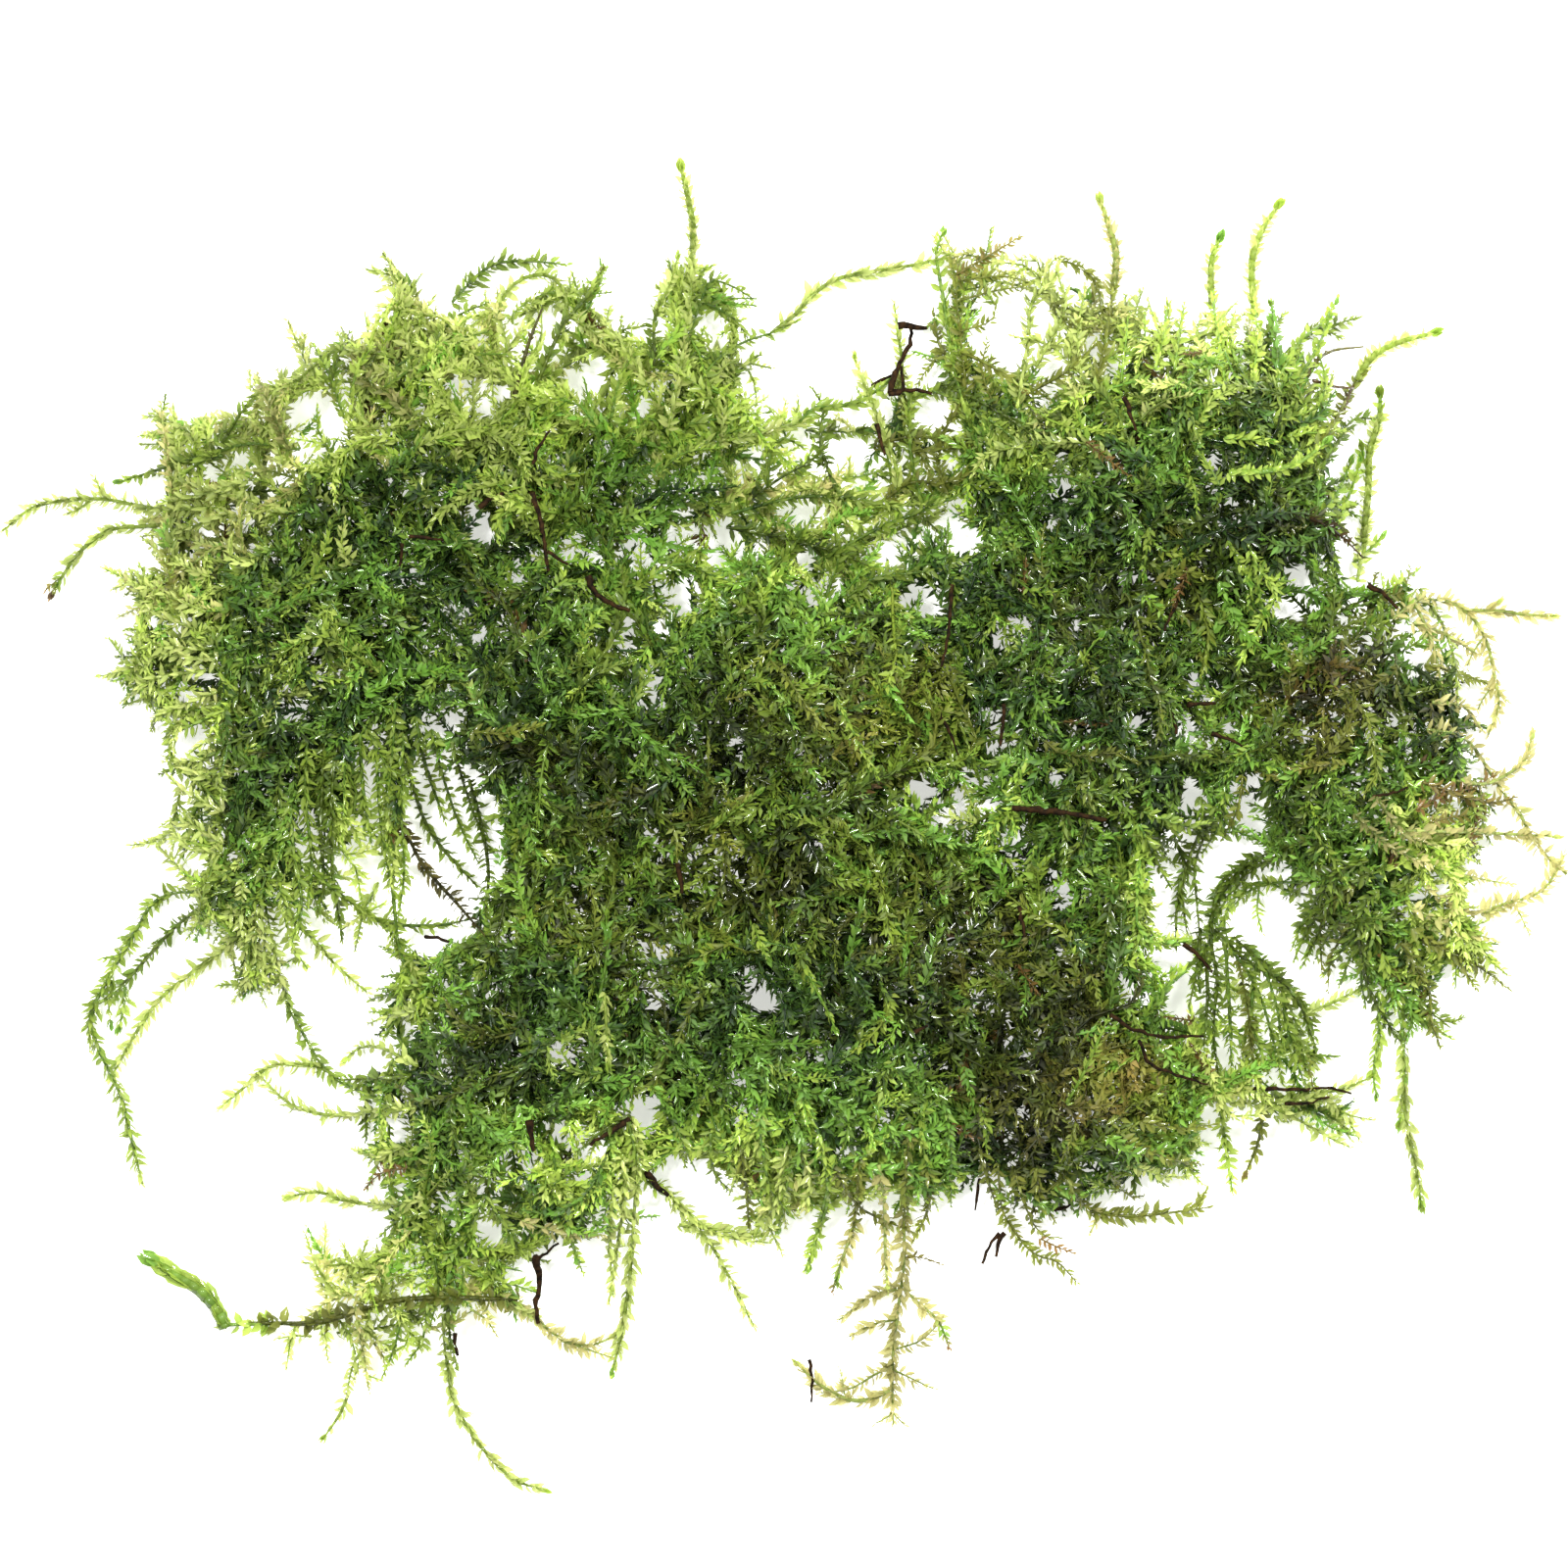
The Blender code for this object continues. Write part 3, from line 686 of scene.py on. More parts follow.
    def dress(self, track: np.ndarray, place: float, paleness: float, size: float = 1.0,
              tip_glow: float = 0.22, roll: float | None = None) -> Shoots:
        """Give a track its frames, its colours and its leaf size.

        Args:
            track: the shoot's points, in mm.
            place: stage on the palette.
            paleness: 0 deep, 1 pale.
            size: leaf size over the habit's own.
            tip_glow: how much paler the young tip is.
            roll: turn of the shoot's flat side about its stem, in radians, or None for a chance one.

        Returns:
            The shoot as flat arrays.
        """
        count = len(track)
        tangents = unit(np.gradient(track, axis=0))
        tilt = self.draws.normal(0.0, self.ROLL) if roll is None else roll
        sides = unit(np.cross(np.broadcast_to(UP, tangents.shape), tangents))
        normals = unit(np.cross(tangents, sides))
        spin = tilt + np.cumsum(self.draws.normal(0.0, self.SPIN, count))
        normals = turn(normals, tangents, spin)
        to_tip = (count - 1 - np.arange(count)) * STEP
        youth = np.clip(1.0 - to_tip / self.YOUNG, 0.0, 1.0)
        stages = place + self.draws.normal(0.0, self.STAGE_SCATTER, count)
        pale = paleness + tip_glow * youth + self.draws.normal(0.0, self.PALE_SCATTER, count)
        sizes = size * opening(to_tip, *self.TAPER)
        first = np.zeros(count, bool)
        first[0] = True
        return Shoots(track, tangents, normals, to_tip, np.clip(stages, 0.0, 1.0),
                      np.clip(pale, 0.0, 1.0), sizes, first)

    def trace(self, route: tuple, droop: float = 1.0) -> np.ndarray:
        """Draw a smooth track through given points, lying on the heap or the table.

        Args:
            route: x and y of each point in turn, in mm.
            droop: how high over the table the free part runs, in mm.

        Returns:
            The track's points, one step apart.
        """
        knots = np.reshape(route, (-1, 2))
        ends = np.vstack([2 * knots[0] - knots[1], knots, 2 * knots[-1] - knots[-2]])
        fine = []
        for index in range(1, len(ends) - 2):
            a, b, c, d = ends[index - 1:index + 3]
            for share in np.linspace(0.0, 1.0, self.KNOT_STEPS, endpoint=False):
                fine.append(0.5 * (2 * b + (c - a) * share + (2 * a - 5 * b + 4 * c - d) * share ** 2
                                   + (3 * b - a - 3 * c + d) * share ** 3))
        fine = np.array(fine + [knots[-1]])
        run = np.concatenate([[0.0], np.cumsum(np.linalg.norm(np.diff(fine, axis=0), axis=1))])
        count = max(self.SHORTEST, int(run[-1] / STEP) + 1)
        marks = np.linspace(0.0, run[-1], count)
        x, y = np.interp(marks, run, fine[:, 0]), np.interp(marks, run, fine[:, 1])
        top = self.heap.sample(self.heap.top, x, y)
        height = smoothed(np.maximum(top - self.NESTLE, droop), self.LAID)
        return np.column_stack([x, y, height])


@dataclass
class MossMesh:
    """Collects stamped leaves and stem joints, and joins them into one object."""

    FLOOR = 0.06  # lowest height of any point
    SHADES = (0.02, 0.98)  # part of the palette map that is used, across
    STAGES = (0.004, 0.996)  # and along
    PLAIN_STEPS = 4  # leaf pairs to a joint of a plain stem
    FINE_STEPS = 2  # and of a fine stem
    STEM_TAPER = (0.55, 6.0)  # stem radius at the tip, and the length it grows over
    STEM_OLIVE = 0.2  # share of olive in a stem's colour
    STEM_SHADE = 0.85  # paleness of a stem over its leaves'
    JOINT_LAP = 1.04  # length of a joint over its part of the stem
    CLOSING = (0.45, 2.2)  # spread of the leaves at the tip, and the length it opens over
    LIFT_SCATTER = 1.3  # over that of the spread
    TWIST = (28.0, 30.0)  # turn of a side leaf about its rib, and its scatter, in degrees
    STAGGER = 0.25  # of the two side rows, in steps
    SIDE_SCATTER = 0.18  # of the side leaves' lengths
    SIDE_TINT = 0.16  # how strongly a side leaf pales to its rib and tip, against the painted shade at its edges
    BACK_AROUND = 38.0  # scatter of the back leaves about the stem, in degrees
    BACK_SPREAD = 0.6  # over that of the side leaves
    BACK_LENGTH = (0.9, 0.12)  # over that of the side leaves, and its scatter
    BACK_TINT = (0.05, 0.14)  # how much paler the back leaves are, and how strongly their tint shows, with its painted edge shade
    BUD_SPREAD = (22.0, 8.0)  # of a bud's leaves and its scatter, in degrees
    BUD_DEPTH = (0.3, 0.5)  # from the tip to a bud's top leaf, and on to its last
    BUD_LENGTH = (3.6, 0.85)  # of its leaves over the stem's radius, and over the habit's leaves
    BUD_WIDTH = 0.27  # half width of its leaves over their length
    BUD_STAGE = 0.14  # how much nearer to brown it stands
    # how strongly a bud leaf's tint shows, with its painted edge shade
    BUD_TINT = 0.1

    draws: np.random.Generator
    points: list = field(default_factory=list)
    triangles: list = field(default_factory=list)
    shades: list = field(default_factory=list)
    count: int = 0

    def stamp(self, shape: Moulding, base: np.ndarray, along: np.ndarray, across: np.ndarray,
              length: np.ndarray, width: np.ndarray, place: np.ndarray, pale: np.ndarray,
              gradient: float) -> None:
        """Stamp a master shape once for each row.

        Args:
            shape: the master shape.
            base: where each copy starts, in mm.
            along: unit direction of each copy.
            across: unit side direction of each copy.
            length: length of each copy, in mm.
            width: half width of each copy, in mm.
            place: stage on the palette.
            pale: paleness of each copy.
            gradient: how strongly the shape's own tint shows: its paler tip and the painted shade at its
                edges.
        """
        lift = np.cross(across, along)
        master = shape.points
        grown = (base[:, None, :]
                 + master[None, :, 0, None] * across[:, None, :] * width[:, None, None]
                 + master[None, :, 1, None] * along[:, None, :] * length[:, None, None]
                 + master[None, :, 2, None] * lift[:, None, :] * width[:, None, None])
        grown[..., 2] = np.maximum(grown[..., 2], self.FLOOR)
        offsets = self.count + np.arange(len(base))[:, None, None] * len(master)
        self.points.append(grown.reshape(-1, 3))
        self.triangles.append((shape.triangles[None] + offsets).reshape(-1, 3))
        shade = np.clip(pale[:, None] + gradient * shape.tint[None], *self.SHADES)
        stage = np.broadcast_to(np.clip(place, *self.STAGES)[:, None], shade.shape)
        self.shades.append(np.stack([stage, shade], axis=-1).reshape(-1, 2))
        self.count += grown.shape[0] * grown.shape[1]

    def leafy(self, shoots: Shoots, habit: Habit, fine: bool = True) -> None:
        """Stamp the stem and all leaves of some shoots of one habit.

        Args:
            shoots: the shoots.
            habit: how they carry their leaves.
            fine: finely shaped leaves and stems for the rim, plain ones for the depth of the heap.
        """
        if fine:
            leaf, joint, steps = FINE_LEAF, FINE_JOINT, self.FINE_STEPS
        else:
            leaf, joint, steps = PLAIN_LEAF, PLAIN_JOINT, self.PLAIN_STEPS
        self._stems(shoots, habit, joint, steps)
        kept = self.draws.random(len(shoots.points)) < 1.0 / habit.spacing
        for side in (1.0, -1.0):
            self._side_leaves(shoots, habit, leaf, side, kept)
        backs = kept & (self.draws.random(len(kept)) < habit.back_leaves)
        self._back_leaves(shoots, habit, leaf, backs)
        if habit.bud:
            self._buds(shoots, habit, leaf)

    def _stems(self, shoots: Shoots, habit: Habit, joint: Moulding, joint_steps: int) -> None:
        """Stamp the joints of the stems, each passing some pairs of leaves."""
        left = np.round(shoots.to_tip / STEP).astype(int)
        index = np.flatnonzero(((left % joint_steps == 0) | shoots.first) & (left > 0))
        ends = index + np.where(left[index] % joint_steps == 0, joint_steps, left[index] % joint_steps)
        reach = shoots.points[ends] - shoots.points[index]
        length = np.linalg.norm(reach, axis=1)
        thin = opening(shoots.to_tip[index], *self.STEM_TAPER)
        radius = habit.stem * thin * shoots.size[index] ** 0.5
        stage = (1.0 - self.STEM_OLIVE) * shoots.place[index] + self.STEM_OLIVE * Stage.OLIVE.place
        along = unit(reach)
        across = unit(np.cross(along, shoots.normals[index]))
        self.stamp(joint, shoots.points[index], along, across, length * self.JOINT_LAP, radius, stage,
                   shoots.paleness[index] * self.STEM_SHADE, 0.0)

    def _side_leaves(self, shoots: Shoots, habit: Habit, leaf: Moulding, side: float,
                     kept: np.ndarray) -> None:
        """Stamp one of the two side rows."""
        index = np.flatnonzero(kept)
        tangents, normals = shoots.tangents[index], shoots.normals[index]
        sides = np.cross(normals, tangents) * side
        closing = opening(shoots.to_tip[index], *self.CLOSING)
        spread = np.radians(habit.spread * closing + self.draws.normal(0.0, habit.wave, len(index)))
        lift = np.radians(self.draws.normal(habit.lift, habit.wave * self.LIFT_SCATTER, len(index)))
        along = unit(lean(tangents, lean(sides, normals, lift), spread))
        face = unit(normals - np.sum(normals * along, axis=1, keepdims=True) * along)
        twist = np.radians(self.draws.normal(-self.TWIST[0] * side, self.TWIST[1], len(index)))
        across = np.cross(along, turn(face, along, twist))
        length = habit.leaf * shoots.size[index] * self.draws.normal(1.0, self.SIDE_SCATTER, len(index))
        base = shoots.points[index] + tangents * (self.STAGGER * STEP * side)
        self.stamp(leaf, base, along, across, length, length * habit.width / habit.leaf,
                   shoots.place[index], shoots.paleness[index], self.SIDE_TINT)

    def _back_leaves(self, shoots: Shoots, habit: Habit, leaf: Moulding, backs: np.ndarray) -> None:
        """Stamp the leaves on the shoots' backs, pressed closer to the stem."""
        index = np.flatnonzero(backs)
        tangents, normals = shoots.tangents[index], shoots.normals[index]
        around = np.radians(self.draws.normal(0.0, self.BACK_AROUND, len(index)))
        normals = turn(normals, tangents, around)
        spread = np.radians(self.draws.normal(habit.spread * self.BACK_SPREAD, habit.wave, len(index)))
        along = unit(lean(tangents, normals, spread))
        across = unit(np.cross(tangents, normals))
        length = habit.leaf * shoots.size[index] * self.draws.normal(*self.BACK_LENGTH, len(index))
        paler, tint = self.BACK_TINT
        self.stamp(leaf, shoots.points[index], along, across, length,
                   length * habit.width / habit.leaf, shoots.place[index],
                   shoots.paleness[index] + paler, tint)

    def _buds(self, shoots: Shoots, habit: Habit, leaf: Moulding) -> None:
        """Close each tip with a bud of overlapping leaves."""
        tips = np.flatnonzero(shoots.to_tip < 0.5 * STEP)
        for number in range(habit.bud):
            around = self.draws.random(len(tips)) * 2.0 * math.pi
            normals = turn(shoots.normals[tips], shoots.tangents[tips], around)
            spread = np.radians(self.draws.normal(*self.BUD_SPREAD, len(tips)))
            along = unit(lean(shoots.tangents[tips], normals, spread))
            across = unit(np.cross(shoots.tangents[tips], normals))
            down = self.BUD_DEPTH[1] * number / habit.bud + self.BUD_DEPTH[0]
            base = shoots.points[tips] - shoots.tangents[tips] * down
            length = np.full(len(tips), max(self.BUD_LENGTH[0] * habit.stem,
                                            habit.leaf * self.BUD_LENGTH[1]))
            self.stamp(leaf, base, along, across, length, length * self.BUD_WIDTH,
                       np.maximum(0.0, shoots.place[tips] - self.BUD_STAGE), shoots.paleness[tips],
                       self.BUD_TINT)

    def finish(self, name: str, material: bpy.types.Material) -> bpy.types.Object:
        """Join all that was stamped into one object, in place.

        Args:
            name: the object's name.
            material: its finish.

        Returns:
            The object, at the origin, unturned and unscaled.
        """
        points = np.concatenate(self.points) * MM
        triangles = np.concatenate(self.triangles)
        shades = np.concatenate(self.shades)
        mesh = bpy.data.meshes.new(name)
        mesh.vertices.add(len(points))
        mesh.vertices.foreach_set("co", points.astype(np.float32).ravel())
        mesh.loops.add(triangles.size)
        mesh.loops.foreach_set("vertex_index", triangles.astype(np.int32).ravel())
        mesh.polygons.add(len(triangles))
        mesh.polygons.foreach_set("loop_start", np.arange(0, triangles.size, 3, dtype=np.int32))
        layer = mesh.uv_layers.new(name=PALETTE_MAP)
        mesh.update(calc_edges=True)
        layer.data.foreach_set("uv", shades[triangles.ravel()].astype(np.float32).ravel())
        mesh.validate()
        mesh.shade_smooth()
        mesh.materials.append(material)
        return add_object(name, mesh)


# Short names for the tables that follow.
F, B, T, S, C, K, N, P = (Habits.FEATHERY, Habits.BRISTLY, Habits.BEADED, Habits.SPARSE, Habits.COMB,
                          Habits.CATKIN, Habits.BARE, Habits.SPINY)
DEAD, RUST, BROWN, OLIVE, MATURE, EMERALD, FRESH, LIME, YELLOW = Stage


@dataclass(frozen=True)
class Rim:
    """One listed shoot: its habit, stage and paleness, and x and y of its points in mm."""

    habit: Habits
    stage: Stage
    pale: float
    route: tuple


def rims(*rows: tuple) -> tuple[Rim, ...]:
    """Read listed shoots from flat rows: habit, stage, paleness, then x and y of each point."""
    return tuple(Rim(habit, stage, pale, route) for habit, stage, pale, *route in rows)


# See-through gaps in the heap: x, y, half width and half depth, in mm.
GAPS = (
    (-45.2, -1, 0.5, 1.7), (-46.6, -8.4, 1, 1.8), (-44, -9.6, 0.8, 2), (-42.5, -5.6, 0.4, 2.2),
    (-51.8, 34.5, 1.6, 0.9), (-48.7, 33.2, 0.7, 0.7), (-45.4, 38.8, 0.6, 2.3), (-43.3, 38.2, 0.5, 1.8),
    (-43, 43.2, 0.4, 1.4), (-28.9, 41.4, 1.5, 1.2), (-25, 46.4, 1.1, 1.2), (-21.9, 45, 1.3, 3),
    (-18.3, 42.2, 1.5, 1.1), (-35.6, 24.8, 0.9, 0.3), (-28.9, 29.3, 0.5, 0.9), (-19.8, 26.4, 0.7, 0.5),
    (-14.2, 26.8, 1, 1), (-9.4, 27.9, 0.9, 0.7), (-6.4, 27, 0.9, 1.1), (-11, 21.4, 1.6, 1.5),
    (-15.6, 18.2, 1.2, 1.4), (-14, 14.2, 0.9, 0.8), (-43.6, 15.2, 0.6, 1.1), (-46.8, 11.9, 0.5, 0.4),
    (-55.9, 13.4, 0.8, 0.7), (-57, 7.8, 2.2, 0.9), (-31.8, 11.2, 0.7, 0.5), (-34.2, 8.2, 0.9, 1.8),
    (-38.5, 7.6, 1.1, 1.6), (-39.6, -1.5, 0.5, 3.2), (-39.4, -12, 1.2, 1.6), (3, 23.8, 1.1, 1.7),
    (6.6, 27, 1.2, 0.9), (10, 26.8, 1.6, 1.2), (16, 29.2, 2, 1.8), (13.9, 34.3, 1.5, 1.2),
    (12.6, 28.6, 1, 0.7), (5.6, 36.8, 1.6, 3.4), (14.4, 39.4, 1.3, 1), (21, 46.5, 1.4, 2.9),
    (25.4, 43.6, 1.2, 1.5), (27.9, 52, 0.8, 0.8), (24.6, 48.4, 0.8, 0.9), (13.2, 22.3, 1, 0.6),
    (48.4, 22.2, 0.9, 1.6), (21.7, 19, 0.5, 1), (20.5, 9, 0.8, 1.2), (24.4, 5.6, 0.8, 0.7),
    (17, 2.2, 1.7, 2.2), (13.4, 3, 0.7, 0.8), (22.5, -1.5, 1, 1.4), (34.4, 9.8, 0.8, 0.5),
    (40, 13.2, 1.4, 0.5), (38.5, 9.8, 1.1, 0.7), (41.2, 8.9, 1.1, 0.5), (43.6, 1.8, 1.2, 1.4),
    (39.5, 2.4, 0.9, 1.1), (63.5, 1.8, 1.3, 0.7), (26.5, -6, 0.7, 0.8), (33.7, -14.7, 0.7, 1.1),
    (36.5, -12.6, 1.5, 0.8), (38.2, -16.2, 1, 1.4), (41, -16.2, 0.9, 2.7), (42, -21, 0.7, 1),
    (46, -20.7, 0.7, 0.7), (48.3, -23, 1.2, 1.1), (43.6, -27.4, 1.5, 0.6), (-2.5, -15.5, 0.7, 1.1),
    (-20.4, -21.2, 0.6, 0.9), (-20, -30.2, 1.9, 1.4), (-25, -32.2, 0.9, 1.2), (-13.7, -27.3, 0.9, 0.7),
    (-32.4, -36, 0.6, 0.5), (-27.2, -39.2, 1, 0.6), (-37, -28.5, 0.6, 0.8), (0.8, 36.4, 0.9, 0.6),
    (-1.8, 34.6, 0.8, 0.6), (1.6, 29.6, 1, 0.7), (8.2, 32.9, 1, 0.8), (34.6, 48.2, 0.7, 1.8),
    (37.4, 48.8, 0.6, 1.8), (39.6, 47.6, 0.9, 2.4), (43.3, 48.4, 0.7, 2.2), (46, 48.4, 0.6, 2),
    (48.4, 47.2, 0.8, 1.8), (50.8, 44.4, 0.9, 1.6), (52.6, 41, 1, 1.8), (53.7, 37.4, 0.8, 1.4),
    (41.6, 44.2, 0.6, 0.8), (36, 44.4, 0.5, 0.7), (31.6, 46, 0.5, 1.2), (-53.6, 38.4, 0.8, 1.6),
    (-56, 27.4, 0.8, 0.8), (-60.6, 25.6, 0.8, 0.7), (-60, 19.2, 0.9, 0.4), (-57.4, 3, 0.7, 0.6),
    (-57.6, -3.6, 0.8, 0.6), (-48.6, -10.6, 0.6, 1.6), (-6.6, 47.6, 0.6, 1.2), (-14.8, 40.8, 0.6, 1),
    (60.6, 15.6, 0.8, 0.6), (62.4, -6.4, 0.9, 0.5), (-37.6, -20, 0.8, 0.6), (-37, -34, 0.7, 0.6),
    (-27.6, -34.6, 0.6, 0.9), (28.6, -33.8, 0.7, 0.5),
)


@dataclass(frozen=True)
class Patch:
    """A stretch of the heap with its own stage and paleness, fading out over its reach. The stage is the
    leaves' own colour. The paleness is partly the leaves' own tone, partly painted shade where the tangle is
    thick and partly painted light where it is thin.
    """

    x: float
    y: float
    reach: float
    stage: Stage
    pale: float
    share: float = 0.7


# Low paleness here is painted shade of thick tangle, and high paleness is partly painted light through thin
# shoots.
PATCHES = tuple(Patch(*row) for row in (
    (-36, 30.5, 7, EMERALD, 0, 0.85), (-46, 27.5, 4.5, OLIVE, 0.04), (-50, 22.5, 6, EMERALD, -0.1, 0.9),
    (-48, 8, 6, MATURE, -0.1, 0.9), (-50, -2, 5, MATURE, -0.08, 0.85), (-37.5, 16.5, 5, EMERALD, 0.3),
    (-30, 20, 6, MATURE, 0.05), (-22, 12.5, 5.5, EMERALD, 0.02), (-27, 8, 5, OLIVE, -0.12, 0.9),
    (-22, 3, 7, MATURE, 0.22), (-8, 8, 7, MATURE, -0.06, 0.85), (-2, 16, 6, MATURE, 0.3, 0.85),
    (11, 9, 7, OLIVE, 0.48), (3, 1, 8, MATURE, 0.22, 0.85), (18.5, 1, 5, FRESH, 0.8),
    (28, 14.5, 8, MATURE, -0.1, 0.9), (27, 3, 6, OLIVE, 0.08), (32, 32, 6, MATURE, 0.02, 0.85),
    (42, 32, 8, MATURE, 0, 0.8), (46, 28, 6, OLIVE, 0, 0.85), (38, 20.5, 5, OLIVE, 0.42),
    (30, 27, 5, MATURE, 0.08), (55, 12.5, 7, BROWN, 0, 0.85), (45, 7, 7, OLIVE, 0.14),
    (57, 0, 6, YELLOW, 0.5), (57, -8, 6, OLIVE, 0.3), (63, 1.5, 4, YELLOW, 0.5),
    (-18, -30, 7, FRESH, 1.1, 0.85), (-3, -32, 7, LIME, 0.95), (10, -31, 6, FRESH, 0.8),
    (38, -12, 7, FRESH, 0.5), (42, -23, 6, YELLOW, 1, 0.9), (65, -13, 6, YELLOW, 0.65),
    (56, -7, 4.5, OLIVE, 0.1, 0.9), (2, 31, 9, YELLOW, 0.8, 0.6), (-20, 37.5, 4.5, FRESH, 0.7),
    (-18.5, 31.5, 4, OLIVE, 0, 0.9), (-38.5, 10, 4, MATURE, 0, 0.85), (34, 41, 7, FRESH, 0.45),
    (23, 22, 5, OLIVE, 0.04), (-10.5, -4, 6, MATURE, 0.45), (-28, -14, 7, MATURE, 0.2),
    (-26, -21.5, 6, MATURE, -0.08, 0.9), (-28, -37, 5, FRESH, 0.8), (-20, -17, 6, MATURE, 0.08),
    (-4, -15, 4, OLIVE, 0.02), (5, -19, 6, EMERALD, 0, 0.9), (11, -6, 6, OLIVE, 0.2),
    (20, -12, 7, OLIVE, 0.1, 0.85), (20, -21, 7, MATURE, 0.1, 0.85), (22, -30, 7, BROWN, -0.08, 0.9),
    (34, -22, 6, BROWN, 0.95, 0.85), (35, -8, 6, YELLOW, 0.85), (-41, -45, 8, LIME, 0.65, 0.8),
    (-56, 24, 5, YELLOW, 0.45), (36, -30, 5, BROWN, 0.45), (11, -24.5, 5.5, FRESH, 0.4),
    (4, -22, 4, EMERALD, 0), (44, -20, 7, FRESH, 0.36), (-19, -36.5, 2.6, EMERALD, 0.2),
    (-19, -22, 4, MATURE, -0.15, 0.9), (5, -37, 6, LIME, 1.3, 0.9), (19, -37, 4, YELLOW, 0.95),
    (-11, 46, 6, FRESH, 0.85), (-8, 38.5, 6, FRESH, 0.7), (-19, 15, 3.5, FRESH, 0.4),
    (-34, -15, 4, FRESH, 0.6), (-34, -45, 5, LIME, 0.85), (-41, 8.5, 5, MATURE, -0.12, 0.9),
    (-56, 14, 5, MATURE, 0.15), (-27.5, 15.5, 5, EMERALD, 0), (-34, 38.5, 5, EMERALD, 0.4),
    (-11, 14.5, 4, MATURE, 0, 0.85), (41, 37.5, 5, EMERALD, 0, 0.8), (19, 30, 4.5, OLIVE, 0.12),
    (19, 23, 4.5, MATURE, 0.05), (34, 8, 5, MATURE, 0, 0.85), (64, 11, 6, OLIVE, 0, 0.9),
    (63, 22, 4, YELLOW, 0.7), (26, -7, 5, BROWN, 0.02), (8, -14.5, 5, MATURE, -0.1, 0.85),
    (30, -15.5, 6, BROWN, -0.05, 0.9), (49, -14, 5, YELLOW, 0.95, 0.85), (-30, 46, 6, LIME, 0.8),
    (-56, 9, 3.5, LIME, 0.6), (-40, -3, 6, FRESH, 0.95), (-26, -4, 5, OLIVE, 0.6),
    (-10, 31.5, 4, MATURE, 0.1), (34, 16, 5, MATURE, 0, 0.85), (-34.5, -29, 4, MATURE, 0.05),
    (-11, -22, 4, MATURE, 0), (0, -14.5, 4.5, MATURE, 0), (-4, 46, 4, MATURE, 0.1), (11, 38, 4, OLIVE, 0.2),
    (-34, 23.5, 5, MATURE, -0.05, 0.85), (-52, 31, 5, LIME, 0.7), (-41, 38, 4, LIME, 0.8),
    (-11, 23, 4, FRESH, 0.7), (-40, -30, 4, LIME, 0.8), (41, 15, 4, MATURE, 0), (34, -37, 5, YELLOW, 0.6),
    (-41, 31, 4, MATURE, 0), (49, -22, 3.5, MATURE, 0.2), (19, 46, 4, OLIVE, 0.7), (-56, -6, 4, LIME, 0.7),
    (63, -6, 4, YELLOW, 0.9), (41, -30, 4, LIME, 0.8), (4, -29, 3.5, MATURE, 0.1),
    (11, -15, 3.5, MATURE, -0.15), (26, 8, 3.5, MATURE, -0.15), (19, 23, 3.5, MATURE, -0.15),
    (-11, 31.5, 3.5, MATURE, -0.05), (-34, 31, 4, EMERALD, -0.15),
))


@dataclass(frozen=True)
class Tuft:
    """One tuft: its name in the frame, the look of its shoots, and the shoots listed for it one by one.

    The lean is the way its shoots run, in degrees from +X, and the scatter how far they stray.
    """

    name: str
    slot: str
    stage: Stage
    pale: float
    lean: float
    scatter: float
    layers: float = 7.0
    rim: tuple = ()


